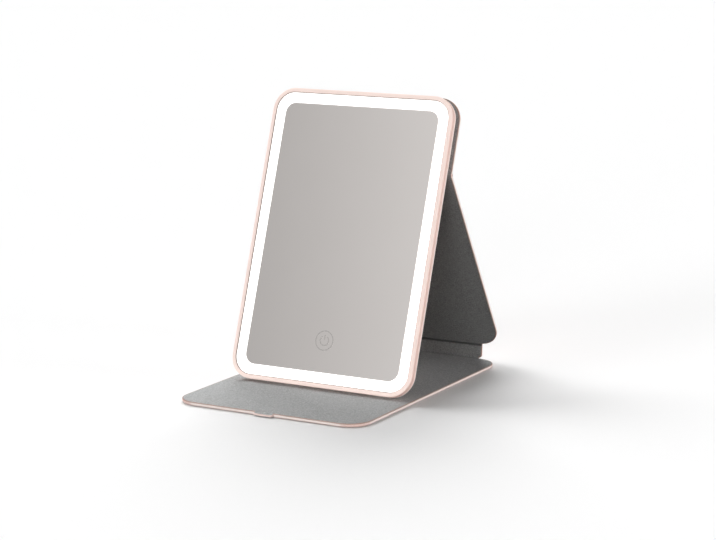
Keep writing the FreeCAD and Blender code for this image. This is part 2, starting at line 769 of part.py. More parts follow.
def make_glass():
    """The silvered pane, the opal band round it and the tape behind the pane."""
    glass = new_body("mirror_glass")
    sketch = new_sketch(glass, "pane", "pane_recess")
    pane_outline(sketch, "edge", "0")
    pad(glass, sketch, "glass_thickness", True)

    diffuser = new_body("light_diffuser")
    sketch = new_sketch(diffuser, "band", "pane_recess")
    inset_outline(sketch, "outside", "bezel_width + fit_gap")
    pane_outline(sketch, "pane", "-fit_gap")
    pad(diffuser, sketch, "tray_front - pane_recess", True)
    sketch = new_sketch(diffuser, "flange", "lip_depth")
    inset_outline(sketch, "outside", "flange_inset")
    inset_outline(sketch, "inside", "bezel_width + 2 * fit_gap")
    pad(diffuser, sketch, "tray_front - lip_depth", True)

    tape = new_body("mirror_tape")
    sketch = new_sketch(tape, "sheet", "pane_recess + glass_thickness")
    pane_outline(sketch, "edge", "mirror_tape_margin")
    circle(sketch, "sensor", "0", "touch_height", "sensor_diameter + 2 * sensor_room")
    pad(tape, sketch, "mirror_tape_thickness", True)
    for item in (glass, diffuser, tape):
        place(item, mirror_frame)


def ring_shape(diameter, line, height):
    """A flat ring on the local XY plane."""
    outside = Part.makeCylinder(diameter / 2, height)
    return outside.cut(Part.makeCylinder(diameter / 2 - line, height))


def make_touch_key():
    """The printed mark on the glass, and the sensor disc behind it with its contact pin."""
    line = size("touch_line")
    height = size("touch_mark_thickness")
    symbol = size("touch_symbol_diameter")
    ring = ring_shape(size("touch_ring_diameter"), line, height)
    half_opening = math.radians(size("touch_opening_angle") / 2)
    apex = FreeCAD.Vector(0, 0, 0)
    left = FreeCAD.Vector(-symbol * math.sin(half_opening), symbol * math.cos(half_opening), 0)
    right = FreeCAD.Vector(-left.x, left.y, 0)
    wedge = Part.Face(Part.makePolygon([apex, right, left, apex])).extrude(FreeCAD.Vector(0, 0, height))
    arc = ring_shape(symbol, line, height).cut(wedge)
    bar_bottom = symbol / 2 - size("touch_bar_length") + line / 2
    bar = Part.makeBox(line, size("touch_bar_length"), height, FreeCAD.Vector(-line / 2, bar_bottom, 0))
    mark = group("touch_mark", [ring, arc, bar])
    place(mark, mirror_frame, 0, size("touch_height"), -size("pane_recess"))

    sensor = new_body("touch_sensor")
    sketch = new_sketch(sensor, "disc", "pane_recess + glass_thickness")
    circle(sketch, "disc", "0", "touch_height", "sensor_diameter")
    pad(sensor, sketch, "mirror_tape_thickness", True)
    sketch = new_sketch(sensor, "pin", "tray_front")
    circle(sketch, "pin", "0", "touch_height", "sensor_pin_diameter")
    pad(sensor, sketch, "circuit_front - tray_front", True)
    place(sensor, mirror_frame)


# Inside of the mirror

def circuit_screw_places():
    """Middles of the control board's screws, as formulas across and up the mirror."""
    for side in (-1, 1):
        x = f"{side} * (circuit_width / 2 - circuit_screw_margin)"
        yield x, "circuit_bottom + circuit_screw_margin"
        yield x, "circuit_bottom + circuit_height - circuit_screw_margin"


def led_wire_places():
    """Places across the mirror of the two wires to the lamps."""
    for side in (-1, 1):
        yield f"circuit_width * {LED_PLUG_SHARE} + {side} * wire_pitch / 2"


def make_tray():
    """The white tray: a plateau under the glass, a trough for the lamps round it and bosses at its back."""
    tray = new_body("reflector_tray")
    sketch = new_sketch(tray, "block", "tray_front")
    inset_outline(sketch, "edge", "tray_inset")
    pad(tray, sketch, "seat_depth - tray_front", True)
    sketch = new_sketch(tray, "trough", "tray_front")
    inset_outline(sketch, "outside", "trough_outer_inset")
    pane_outline(sketch, "inside", "-plateau_margin")
    pocket(tray, sketch, "trough_depth - tray_front")
    sketch = new_sketch(tray, "hollow", "seat_depth")
    pane_outline(sketch, "edge", "tray_wall - plateau_margin")
    pocket(tray, sketch, "seat_depth - plateau_back", True)
    sketch = new_sketch(tray, "usb_notch", "tray_front")
    width = "usb_width + 2 * usb_room"
    left = "-(mirror_width / 2 - tray_inset) - cut_overrun"
    length = "usb_recess + usb_length + fit_gap - tray_inset + cut_overrun"
    rectangle(sketch, "notch", left, f"usb_height - ({width}) / 2", length, width)
    pocket(tray, sketch, "seat_depth - tray_front")

    sketch = new_sketch(tray, "screw_bosses", "screw_joint_depth")
    for index, (x, y) in enumerate(screw_places()):
        circle(sketch, f"boss_{index}", x, y, "screw_boss_diameter")
    pad(tray, sketch, "screw_joint_depth - plateau_back")
    sketch = new_sketch(tray, "screw_pilots", "screw_joint_depth")
    for index, (x, y) in enumerate(screw_places()):
        circle(sketch, f"pilot_{index}", x, y, "screw_pilot_diameter")
    pocket(tray, sketch, "screw_pilot_depth", True)
    sketch = new_sketch(tray, "circuit_bosses", "circuit_front")
    for index, (x, y) in enumerate(circuit_screw_places()):
        circle(sketch, f"boss_{index}", x, y, "circuit_boss_diameter")
    pad(tray, sketch, "circuit_standoff")
    sketch = new_sketch(tray, "circuit_pilots", "circuit_front")
    for index, (x, y) in enumerate(circuit_screw_places()):
        circle(sketch, f"pilot_{index}", x, y, "circuit_pilot_diameter")
    pocket(tray, sketch, "circuit_pilot_depth", True)
    sketch = new_sketch(tray, "pin_hole", "plateau_back")
    circle(sketch, "hole", "0", "touch_height", "sensor_pin_hole")
    pocket(tray, sketch, "plateau_thickness", True)
    sketch = new_sketch(tray, "wire_holes", "seat_depth")
    strip_middle = "(strip_outer_inset + strip_inner_inset) / 2"
    for index, x in enumerate(led_wire_places()):
        circle(sketch, f"hole_{index}", x, strip_middle, "wire_hole")
    pocket(tray, sketch, "tray_floor", True)
    place(tray, mirror_frame)


def make_lamps():
    """The flexible strip in the trough and the row of chips along each of its sides."""
    strip = new_body("led_strip")
    sketch = new_sketch(strip, "ring", "strip_front")
    inset_outline(sketch, "outside", "strip_outer_inset")
    inset_outline(sketch, "inside", "strip_inner_inset")
    pad(strip, sketch, "strip_thickness", True)
    place(strip, mirror_frame)

    inset = (size("strip_outer_inset") + size("strip_inner_inset")) / 2
    corner = size("mirror_corner_radius")
    half_width = size("mirror_width") / 2 - inset
    half_height = size("mirror_height") / 2 - inset
    middle = size("mirror_height") / 2
    back = -size("strip_front")
    chips = []
    for across, reach, run in (
        (True, half_height, size("mirror_width") - 2 * corner),
        (False, half_width, size("mirror_height") - 2 * corner),
    ):
        count = int(run // size("chip_pitch")) + 1
        lengths = (size("chip_length"), size("chip_width"))
        if not across:
            lengths = lengths[::-1]
        for step in range(count):
            along = (step - (count - 1) / 2) * size("chip_pitch")
            for side in (-1, 1):
                x, y = (along, side * reach) if across else (side * reach, along)
                start = FreeCAD.Vector(x - lengths[0] / 2, middle + y - lengths[1] / 2, back)
                chips.append(Part.makeBox(*lengths, size("chip_height"), start))
    place(group("led_chips", chips), mirror_frame)


def block_on_circuit(x, y, width, height, rise):
    """A plain package on the back of the control board, placed by its middle."""
    start = FreeCAD.Vector(x - width / 2, y - height / 2, -size("circuit_back") - rise)
    return Part.makeBox(width, height, rise, start)


def on_circuit(shares):
    """A place on the control board given as shares of its width and height."""
    return shares[0] * size("circuit_width"), size("circuit_bottom") + shares[1] * size("circuit_height")


def make_circuit():
    """The control board with its chips, coil, connectors and screws."""
    circuit = new_body("control_board")
    sketch = new_sketch(circuit, "outline", "circuit_front")
    outline(sketch, "edge", "circuit_width", "circuit_height", "circuit_bottom")
    for index, (x, y) in enumerate(circuit_screw_places()):
        circle(sketch, f"hole_{index}", x, y, "circuit_hole_diameter")
    pad(circuit, sketch, "circuit_thickness", True)

    rise = size("chip_package_height")
    side = size("controller_side")
    controller = block_on_circuit(*on_circuit(CONTROLLER_SHARES), side, side, rise)
    side = size("driver_side")
    driver = block_on_circuit(*on_circuit(DRIVER_SHARES), side, side, rise)
    chips = group("control_chips", [controller, driver])

    coil_x, coil_y = on_circuit(INDUCTOR_SHARES)
    coil_place = FreeCAD.Vector(coil_x, coil_y, -size("circuit_back") - size("inductor_height"))
    coil_shape = Part.makeCylinder(size("inductor_diameter") / 2, size("inductor_height"), coil_place)
    coil = group("inductor", [coil_shape])

    width = size("connector_width")
    length = size("connector_length")
    margin = size("connector_margin") + length / 2
    low = size("circuit_bottom")
    high = low + size("circuit_height")
    rise = size("connector_height")
    plugs = [
        block_on_circuit(size("circuit_width") * BATTERY_PLUG_SHARE, high - margin, width, length, rise),
        block_on_circuit(size("circuit_width") * LED_PLUG_SHARE, low + margin, width, length, rise),
        block_on_circuit(margin - size("circuit_width") / 2, size("usb_height"), length, width, rise),
    ]
    connectors = group("wire_connectors", plugs)

    screws = []
    for x, y in circuit_screw_places():
        shape = screw_shape(
            size("circuit_head_diameter"),
            size("circuit_head_height"),
            size("circuit_pilot_diameter") - size("fit_gap") / 2,
            size("circuit_thickness") + size("circuit_pilot_depth") - size("fit_gap"),
        )
        shape.translate(FreeCAD.Vector(number_of(circuit, x), number_of(circuit, y), -size("circuit_back")))
        screws.append(shape)
    board_screws = group("board_screws", screws)
    for item in (circuit, chips, coil, connectors, board_screws):
        place(item, mirror_frame)


def screw_shape(head_diameter, head_height, shank_diameter, shank_length):
    """A screw that points along +Z, with the underside of its head at the origin."""
    down = FreeCAD.Vector(0, 0, -1)
    head = Part.makeCylinder(head_diameter / 2, head_height, FreeCAD.Vector(0, 0, 0), down)
    body = head.fuse(Part.makeCylinder(shank_diameter / 2, shank_length)).removeSplitter()
    length = head_diameter * RECESS_LENGTH_SHARE
    width = head_diameter * RECESS_WIDTH_SHARE
    depth = head_height * RECESS_DEPTH_SHARE
    for arm_x, arm_y in ((length, width), (width, length)):
        corner = FreeCAD.Vector(-arm_x / 2, -arm_y / 2, -head_height)
        body = body.cut(Part.makeBox(arm_x, arm_y, depth, corner))
    return body


def make_housing_screws():
    """The screws that draw the tray onto its seat in the rear cover."""
    screws = []
    underside = size("housing_depth") - size("screw_head_height") - size("screw_sink")
    tip = size("screw_joint_depth") - size("screw_pilot_depth") + size("fit_gap")
    for x, y in screw_places():
        shape = screw_shape(
            size("screw_head_diameter"),
            size("screw_head_height"),
            size("screw_pilot_diameter") - size("fit_gap") / 2,
            underside - tip,
        )
        shape.translate(FreeCAD.Vector(number_of(sheet, x), number_of(sheet, y), -underside))
        screws.append(shape)
    place(group("housing_screws", screws), mirror_frame)


def make_battery():
    """The flat cell and the tape that holds it to the tray."""
    cell = new_body("battery_cell")
    sketch = new_sketch(cell, "outline", "battery_front")
    radius = "battery_corner_radius"
    outline(sketch, "edge", "battery_width", "battery_height", "battery_bottom", radius, radius)
    block = pad(cell, sketch, "battery_thickness", True)
    fillet(cell, block, level_edges(block, -size("battery_back")), "battery_corner_radius / 2")
    tape = new_body("battery_tape")
    sketch = new_sketch(tape, "outline", "plateau_back")
    margin = "battery_tape_margin"
    width = f"battery_width - 2 * {margin}"
    outline(sketch, "edge", width, f"battery_height - 2 * {margin}", f"battery_bottom + {margin}")
    pad(tape, sketch, "battery_tape_thickness", True)
    for item in (cell, tape):
        place(item, mirror_frame)


def tube(points, radius, bend):
    """A round wire along straight runs joined by tangent arcs of one radius."""
    edges = []
    start = points[0]
    for before, corner, after in zip(points, points[1:], points[2:]):
        back = (before - corner).normalize()
        onward = (after - corner).normalize()
        half = back.getAngle(onward) / 2
        first = corner + back * (bend / math.tan(half))
        last = corner + onward * (bend / math.tan(half))
        middle = (back + onward).normalize()
        centre = corner + middle * (bend / math.sin(half))
        edges.append(Part.LineSegment(start, first).toShape())
        edges.append(Part.Arc(first, centre - middle * bend, last).toShape())
        start = last
    edges.append(Part.LineSegment(start, points[-1]).toShape())
    path = Part.Wire(edges)
    section = Part.Face(Part.Wire(Part.makeCircle(radius, points[0], points[1] - points[0])))
    solid = path.makePipe(section)
    expected = section.Area * path.Length
    if abs(solid.Volume / expected - 1) > WIRE_VOLUME_SHARE:
        raise RuntimeError("a wire's volume differs from its section times its length")
    return solid


def make_wires():
    """Pairs of wires from the connectors to the battery, the lamps and the charging socket."""
    radius = size("wire_diameter") / 2
    bend = size("wire_bend")
    depth = -size("wire_depth")
    low = size("circuit_bottom")
    high = low + size("circuit_height")
    margin = size("connector_margin")
    strip_middle = (size("strip_outer_inset") + size("strip_inner_inset")) / 2
    battery_leads = []
    led_leads = []
    charge_leads = []
    for side in (-1, 1):
        step = side * size("wire_pitch") / 2
        x = size("circuit_width") * BATTERY_PLUG_SHARE + step
        run = [FreeCAD.Vector(x, high - margin, depth), FreeCAD.Vector(x, size("battery_bottom"), depth)]
        battery_leads.append(tube(run, radius, bend))
        x = size("circuit_width") * LED_PLUG_SHARE + step
        run = [
            FreeCAD.Vector(x, low + margin, depth),
            FreeCAD.Vector(x, strip_middle, depth),
            FreeCAD.Vector(x, strip_middle, -size("trough_depth")),
        ]
        led_leads.append(tube(run, radius, bend))
        y = size("usb_height") + step
        start = size("charge_lead_inset") - size("mirror_width") / 2
        run = [
            FreeCAD.Vector(start, y, -size("seat_depth")),
            FreeCAD.Vector(start, y, depth),
            FreeCAD.Vector(margin - size("circuit_width") / 2, y, depth),
        ]
        charge_leads.append(tube(run, radius, bend))
    for label, wires in (
        ("battery_leads", battery_leads),
        ("led_leads", led_leads),
        ("charge_leads", charge_leads),
    ):
        place(group(label, wires), mirror_frame)


def make_usb_socket():
    """The charging socket in the left side: a bent metal shell and the contact tongue in it."""
    shell = new_body("usb_socket")
    sketch = new_sketch(shell, "outside", "0", "YZ_Plane")
    radius = "usb_corner_radius"
    outline(sketch, "edge", "usb_width", "usb_thickness", "0", radius, radius)
    pad(shell, sketch, "usb_length")
    sketch = new_sketch(shell, "mouth", "0", "YZ_Plane")
    inner = "usb_corner_radius - usb_wall"
    inside_width = "usb_width - 2 * usb_wall"
    inside_height = "usb_thickness - 2 * usb_wall"
    outline(sketch, "edge", inside_width, inside_height, "usb_wall", inner, inner)
    pocket(shell, sketch, "usb_length - usb_wall", True)

    tongue = new_body("usb_tongue")
    root_start = "usb_length - usb_wall - tongue_root"
    sketch = new_sketch(tongue, "root", f"-({root_start})", "YZ_Plane")
    outline(sketch, "edge", inside_width, inside_height, "usb_wall", inner, inner)
    pad(tongue, sketch, "tongue_root")
    sketch = new_sketch(tongue, "blade", "-tongue_recess", "YZ_Plane")
    outline(sketch, "edge", "tongue_width", "tongue_thickness", "(usb_thickness - tongue_thickness) / 2")
    pad(tongue, sketch, f"{root_start} - tongue_recess")
    for item in (shell, tongue):
        mouth = size("usb_recess") - size("mirror_width") / 2
        place(item, mirror_frame, mouth, size("usb_height"), -size("seat_depth"))


make_base()
make_spine()
make_leg()
make_upper_panel()
make_front_frame()
make_rear_cover()
make_glass()
make_touch_key()
make_tray()
make_lamps()
make_circuit()
make_housing_screws()
make_battery()
make_wires()
make_usb_socket()
doc.recompute()

# Every object is sound before anything is written
for item in doc.Objects:
    if "Invalid" in item.State or "Error" in item.State:
        raise RuntimeError(f"{item.Label} failed: {item.State}")
for node in nodes:
    if node.Shape.isNull() or not node.Shape.isValid():
        raise RuntimeError(f"{node.Label} has no sound shape")

# The origin goes under the middle of the bounding box
boxes = [node.Shape.optimalBoundingBox() for node in nodes]
middle_y = (min(box.YMin for box in boxes) + max(box.YMax for box in boxes)) / 2
to_middle = FreeCAD.Placement(FreeCAD.Vector(0, -middle_y, 0), FreeCAD.Rotation())
for node in nodes:
    node.Placement = to_middle.multiply(node.Placement)
doc.recompute()

os.makedirs("parts", exist_ok=True)
for node in nodes:
    node.Shape.exportStep(f"parts/{node.Label}.step")

for name, place_y, place_z in (
    ("base fold", "base_fold_y", "base_fold_z"),
    ("leg fold", "leg_fold_y", "leg_fold_z"),
    ("top fold", "top_fold_y", "top_fold_z"),
):
    print(f"{name}: y {size(place_y) - middle_y:.4f}, z {size(place_z):.4f}")
print(f"mirror foot: y {size('foot_y') - middle_y:.4f}, z {size('foot_z'):.4f}")
print(f"leg lean: {size('leg_angle'):.4f}")
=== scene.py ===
import json
import math
from collections import namedtuple

import bmesh
import bpy
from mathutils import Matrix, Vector

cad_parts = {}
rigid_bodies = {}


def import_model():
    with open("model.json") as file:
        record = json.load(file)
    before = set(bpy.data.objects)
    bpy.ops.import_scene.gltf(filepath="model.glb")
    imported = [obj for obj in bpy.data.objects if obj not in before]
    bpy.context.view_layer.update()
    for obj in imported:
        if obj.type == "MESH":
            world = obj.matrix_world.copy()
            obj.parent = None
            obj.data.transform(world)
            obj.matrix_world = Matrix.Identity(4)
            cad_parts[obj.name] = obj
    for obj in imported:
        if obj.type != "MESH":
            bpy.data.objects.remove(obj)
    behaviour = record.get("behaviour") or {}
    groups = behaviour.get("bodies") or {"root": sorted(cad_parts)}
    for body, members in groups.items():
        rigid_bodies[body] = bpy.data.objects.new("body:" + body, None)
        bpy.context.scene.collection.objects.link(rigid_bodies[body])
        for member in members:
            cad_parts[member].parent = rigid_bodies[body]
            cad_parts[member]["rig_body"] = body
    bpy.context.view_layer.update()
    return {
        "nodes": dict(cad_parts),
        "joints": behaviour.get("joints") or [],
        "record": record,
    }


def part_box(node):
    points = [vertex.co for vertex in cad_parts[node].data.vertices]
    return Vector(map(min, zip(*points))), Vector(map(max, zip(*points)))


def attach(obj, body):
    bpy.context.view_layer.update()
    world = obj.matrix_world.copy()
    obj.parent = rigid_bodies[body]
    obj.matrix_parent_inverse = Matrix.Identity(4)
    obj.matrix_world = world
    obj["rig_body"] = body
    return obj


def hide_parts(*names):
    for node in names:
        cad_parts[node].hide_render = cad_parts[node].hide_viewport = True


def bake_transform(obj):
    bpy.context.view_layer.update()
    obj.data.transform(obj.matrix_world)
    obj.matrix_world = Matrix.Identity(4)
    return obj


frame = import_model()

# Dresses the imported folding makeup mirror: camera, studio light, finishes and the bent creases of its cover.
# Lengths are in metres and angles in degrees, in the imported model's frame.

MILLIMETRE = 0.001
WHITE = (1.0, 1.0, 1.0, 1.0)

# Camera, at the photograph's view
CAMERA_PLACE = (0.86969, -1.53093, 0.43250)
CAMERA_AZIMUTH = 29.174
CAMERA_ELEVATION = 10.787
CAMERA_LENS = 108.0
SENSOR_WIDTH = 36.0

# Lamps: azimuth as seen from above, with 0 at the front and 90 at the right, elevation, strength and width
LAMPS = {
    "rear_lamp": (207.0, 37.0, 2.31, 36.0),
    "left_lamp": (264.0, 47.0, 1.55, 36.0),
    "right_lamp": (95.0, 1.5, 3.05, 10.0),
    "fill_lamp": (17.0, 5.0, 0.92, 27.0),
    "front_lamp": (339.0, 2.5, 2.95, 30.0),
}

# Strength of the dome of light
SKY_AT_HORIZON = 0.024
SKY_OVERHEAD = 0.152

# Studio that gloss and glass reflect. It goes from dark to bright towards one side, over a span about a
# middle direction, and fades to white below a height above the horizon.
REFLECTED_DARK = 0.404
REFLECTED_BRIGHT = 0.80
REFLECTED_MIDDLE = (-0.4685, -0.7906, 0.3939)
REFLECTED_TOWARDS = (0.885, -0.420, 0.270)
REFLECTED_SPAN = 0.25
REFLECTED_HORIZON = 0.26

# Floor: its grey as it is seen and as it throws light on the object, and a faint glow that is only seen
FLOOR_HALF = 30.0
FLOOR_DROP = 0.2 * MILLIMETRE
FLOOR_GREY = 0.92
FLOOR_BOUNCE = 0.08
FLOOR_GLOW = 0.03
FLOOR_ROUGHNESS = 0.9

# Lean of the cover's panels and of the mirror, from the vertical
MIRROR_TILT = 18.9
LEG_LEAN = 31.3657
SPINE_LEAN = 2.8

# Cover. Its panels stop short of the axes of its folds by the setback, and the faces of its linings stand off
# those axes by the roll.
COVER_HALF_WIDTH = 86.8 * MILLIMETRE
PANEL = 3.2 * MILLIMETRE
UPPER_LENGTH = 62.6 * MILLIMETRE
SPINE_WIDTH = 136.6 * MILLIMETRE
SPINE_CORNER = 3.0 * MILLIMETRE
SETBACK = 0.9 * MILLIMETRE
FOLD_ROLL = 0.5 * MILLIMETRE

# Creases of the cover: their layers, how far the faces lie from the axis of the fold, and how far they run on
# along the panels
SKIN = 0.8 * MILLIMETRE
LINING = 0.35 * MILLIMETRE
TOP_FILL = 2.0 * MILLIMETRE
PANEL_OUTSIDE = 1.40 * MILLIMETRE
SPINE_OUTSIDE = 1.30 * MILLIMETRE
TOP_OUTSIDE = 2.75 * MILLIMETRE
PANEL_INSIDE = 0.45 * MILLIMETRE
LINING_INSIDE = 0.55 * MILLIMETRE
SKIN_TAIL = 1.2 * MILLIMETRE
LINING_TAIL = 2.4 * MILLIMETRE
TOP_CREASE_WIDTH = 173.2 * MILLIMETRE
CREASE_STEPS = 16
CREASE_COLUMNS = 160

# Valley where the lining is tucked into a fold, with its floor's edges as shares of the shoulders' places
VALLEY_HALF = 0.55 * MILLIMETRE
VALLEY_DROP = 0.15 * MILLIMETRE
VALLEY_FLOOR_HEIGHT = 0.2
VALLEY_FLOOR_WIDTH = 0.6

# Ripples along the creases: share, size and start of each wave, and how they are scaled to the height
SKIN_RIPPLE = 0.05 * MILLIMETRE
LINING_RIPPLE = 0.08 * MILLIMETRE
RIPPLE_WAVES = ((1.0, 2.1 * MILLIMETRE, 1.3), (0.7, 4.7 * MILLIMETRE, 0.0), (0.5, 1.3 * MILLIMETRE, 0.4))
RIPPLE_LEVEL = 1.1
RIPPLE_SWING = 0.5

# Lining of the spine, gathered into small upright ribs: a wandering wave and a slower one
RIM = 0.9 * MILLIMETRE
RIB_COLUMNS = 520
RIB_ROWS = 14
RIB_HEIGHT = 0.30 * MILLIMETRE
RIB_PITCH = 2.9 * MILLIMETRE
RIB_SHARE = 0.65
RIB_WANDER = 0.9
RIB_WANDER_SIZE = 17 * MILLIMETRE
SLOW_RIB_PITCH = 1.7 * RIB_PITCH
SLOW_RIB_SHARE = 0.35
SLOW_RIB_START = 0.6
SPINE_PILLOW = 0.08 * MILLIMETRE

# Tongue of the base's lining, over the front edge and the pull tab. Its line is given by millimetres behind
# the edge, first with shares of the lining's height and then with millimetres above the tab.
TAB_WIDTH = 16.4 * MILLIMETRE
TAB_TOP = 2.4 * MILLIMETRE
TAB_REACH = 2.7 * MILLIMETRE
TAB_CORNER = 2.5 * MILLIMETRE
TONGUE = 0.12 * MILLIMETRE
TONGUE_STEPS = 12
TONGUE_OVER_EDGE = ((2.2, 1.0), (1.0, 1.0), (0.6, 1.0), (0.25, 0.98), (0.04, 0.92))
TONGUE_TO_TAB = ((0.0, 0.25), (-0.10, 0.05), (-0.25, 0.0))
TONGUE_STOPS_SHORT = 0.15

# Dark bead between the mirror's frame and its lit band: a painted shade line along the lip's inner edge. Its
# section is in shares of its width and height.
MIRROR_FOOT = (-43.7335 * MILLIMETRE, 5.7123 * MILLIMETRE)
MIRROR_SIZE = (171.2 * MILLIMETRE, 250.5 * MILLIMETRE)
MIRROR_CORNER = 19.5 * MILLIMETRE
BEZEL = 3.4 * MILLIMETRE
BAND_DEPTH = 0.9 * MILLIMETRE
SHADE_BEAD_WIDTH = 0.5 * MILLIMETRE
SHADE_BEAD_HEIGHT = 0.55 * MILLIMETRE
SHADE_BEAD_SECTION = ((0.0, 0.0), (0.0, 1.0), (0.35, 0.97), (0.7, 0.75), (0.93, 0.40), (1.0, 0.0))
SHADE_BEAD_CORNER_STEPS = 14

# Smooth shading stops at edges sharper than this
SHARP_EDGE = 32.0

# sRGB's curve from screen colours to linear ones: a straight start, then a power
SRGB_STRAIGHT_END = 0.04045
SRGB_STRAIGHT_SLOPE = 12.92
SRGB_OFFSET = 0.055
SRGB_POWER = 2.4


def srgb(red, green, blue):
    """A colour given in 0 to 255 as it looks on a screen, as the linear numbers that shaders take."""
    linear = []
    for channel in (red, green, blue):
        share = channel / 255
        if share <= SRGB_STRAIGHT_END:
            linear.append(share / SRGB_STRAIGHT_SLOPE)
        else:
            linear.append(((share + SRGB_OFFSET) / (1 + SRGB_OFFSET)) ** SRGB_POWER)
    return (*linear, 1.0)


def tinted(colour, factor):
    """The same colour, lighter or darker by a factor."""
    return (*[min(1.0, channel * factor) for channel in colour[:3]], 1.0)


# Where the cover's panels lie: the angles, from +Y towards +Z, of their length and of the ways that their
# faces look

joint_place = {joint["name"]: Vector(joint["pos_m"]) for joint in frame["joints"]}
BASE_AXIS = joint_place["base_fold_turn"]
LEG_AXIS = joint_place["leg_fold_turn"]
TOP_AXIS = joint_place["top_fold_turn"]
BASE_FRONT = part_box("base_skin")[0].y
LIE = {"base": 0.0, "spine": 90 - SPINE_LEAN, "leg": 90 + LEG_LEAN, "mirror": 90 - MIRROR_TILT}
OUTWARD = {"base": -90, "spine": -SPINE_LEAN, "leg": LEG_LEAN, "mirror": -MIRROR_TILT}
INWARD = {body: 180 + angle for body, angle in OUTWARD.items()}


def heading(angle):
    """The unit vector at an angle from +Y towards +Z, as a pair."""
    return Vector((math.cos(math.radians(angle)), math.sin(math.radians(angle))))


def along_panel(body, point):
    """How far a point lies along the length of a body's panel."""
    angle = math.radians(LIE[body])
    return point.y * math.cos(angle) + point.z * math.sin(angle)


def across_panel(body, point):
    """How far a point lies across the thickness of a body's panel, towards its lining."""
    angle = math.radians(LIE[body])
    return point.z * math.cos(angle) - point.y * math.sin(angle)


# Shader nodes

# The wave texture's angle is its scale times this and the place
WAVE_FACTOR = 20


def new_material(name):
    """A material with one main shader. Gives the material, its node tree and the shader."""
    material = bpy.data.materials.new(name)
    material.use_nodes = True
    tree = material.node_tree
    tree.nodes.clear()
    output = tree.nodes.new("ShaderNodeOutputMaterial")
    shader = tree.nodes.new("ShaderNodeBsdfPrincipled")
    tree.links.new(shader.outputs["BSDF"], output.inputs["Surface"])
    return material, tree, shader


def coordinates(tree, turn=0.0, stretch=(1.0, 1.0, 1.0)):
    """Places on the object in metres, turned about X so that a sloping panel lies along Y."""
    place = tree.nodes.new("ShaderNodeTexCoord")
    mapping = tree.nodes.new("ShaderNodeMapping")
    mapping.inputs["Rotation"].default_value = (-math.radians(turn), 0, 0)
    mapping.inputs["Scale"].default_value = stretch
    tree.links.new(place.outputs["Object"], mapping.inputs["Vector"])
    return mapping.outputs["Vector"]


def split(tree, vector):
    """The three numbers of a place or a direction."""
    node = tree.nodes.new("ShaderNodeSeparateXYZ")
    tree.links.new(vector, node.inputs["Vector"])
    return node.outputs["X"], node.outputs["Y"], node.outputs["Z"]


def noise(tree, vector, size, detail):
    """A cloud pattern, from 0 to 1, with blobs of about the size."""
    node = tree.nodes.new("ShaderNodeTexNoise")
    node.inputs["Scale"].default_value = 1 / size
    node.inputs["Detail"].default_value = detail
    tree.links.new(vector, node.inputs["Vector"])
    return node.outputs["Fac"]


def cells(tree, vector, size):
    """A pattern of pebbles, 0 at their middles, of about the size."""
    node = tree.nodes.new("ShaderNodeTexVoronoi")
    node.feature = "SMOOTH_F1"
    node.inputs["Scale"].default_value = 1 / size
    node.inputs["Smoothness"].default_value = 0.6
    tree.links.new(vector, node.inputs["Vector"])
    return node.outputs["Distance"]


def stripes(tree, vector, pitch, axis):
    """Threads side by side along one axis, from 0 to 1."""
    node = tree.nodes.new("ShaderNodeTexWave")
    node.bands_direction = axis
    node.inputs["Scale"].default_value = 2 * math.pi / (WAVE_FACTOR * pitch)
    node.inputs["Distortion"].default_value = 1.2
    node.inputs["Detail"].default_value = 1.0
    node.inputs["Detail Scale"].default_value = 2.0
    tree.links.new(vector, node.inputs["Vector"])
    return node.outputs["Fac"]


def arithmetic(tree, operation, first, second=None):
    """One operation on one or two sockets or numbers."""
    node = tree.nodes.new("ShaderNodeMath")
    node.operation = operation
    for value, entry in zip((first, second), node.inputs):
        if value is None:
            continue
        if isinstance(value, (int, float)):
            entry.default_value = value
        else:
            tree.links.new(value, entry)
    return node.outputs["Value"]


def spread(tree, factor, low, high, start=0.0, end=1.0):
    """Maps a factor between start and end smoothly to numbers between low and high."""
    node = tree.nodes.new("ShaderNodeMapRange")
    node.interpolation_type = "SMOOTHSTEP"
    for entry, value in (("From Min", start), ("From Max", end), ("To Min", low), ("To Max", high)):
        node.inputs[entry].default_value = value
    tree.links.new(factor, node.inputs["Value"])
    return node.outputs["Result"]


def blend_colours(tree, factor, low, high, start=0.25, end=0.75):
    """Goes from one colour to another as a factor goes from start to end."""
    node = tree.nodes.new("ShaderNodeValToRGB")
    stops = node.color_ramp.elements
    stops[0].position, stops[0].color = start, low
    stops[1].position, stops[1].color = end, high
    tree.links.new(factor, node.inputs["Fac"])
    return node.outputs["Color"]


def mix_colours(tree, factor, first, second):
    """Mixes two colours by a factor. Each is a socket or a fixed colour."""
    node = tree.nodes.new("ShaderNodeMix")
    node.data_type = "RGBA"
    entries = [entry for entry in node.inputs if entry.type == "RGBA"]
    for value, entry in zip((first, second), entries):
        if isinstance(value, tuple):
            entry.default_value = value
        else:
            tree.links.new(value, entry)
    tree.links.new(factor, node.inputs["Factor"])
    return next(entry for entry in node.outputs if entry.type == "RGBA")


def bump(tree, shader, height, depth, strength):
    """Lets a pattern stand out of the surface by a depth."""
    node = tree.nodes.new("ShaderNodeBump")
    node.inputs["Distance"].default_value = depth
    node.inputs["Strength"].default_value = strength
    tree.links.new(height, node.inputs["Height"])
    tree.links.new(node.outputs["Normal"], shader.inputs["Normal"])


def near_edge(tree, vector, ends, band):
    """1 along the sides and ends of one of the cover's panels, falling to 0 a band further in."""
    x, y, _ = split(tree, vector)
    across = arithmetic(tree, "ABSOLUTE", x)
    sides = spread(tree, across, low=0.0, high=1.0, start=COVER_HALF_WIDTH - band, end=COVER_HALF_WIDTH)
    near = spread(tree, y, low=1.0, high=0.0, start=ends[0], end=ends[0] + band)
    far = spread(tree, y, low=0.0, high=1.0, start=ends[1] - band, end=ends[1])
    return arithmetic(tree, "MAXIMUM", sides, arithmetic(tree, "MAXIMUM", near, far))


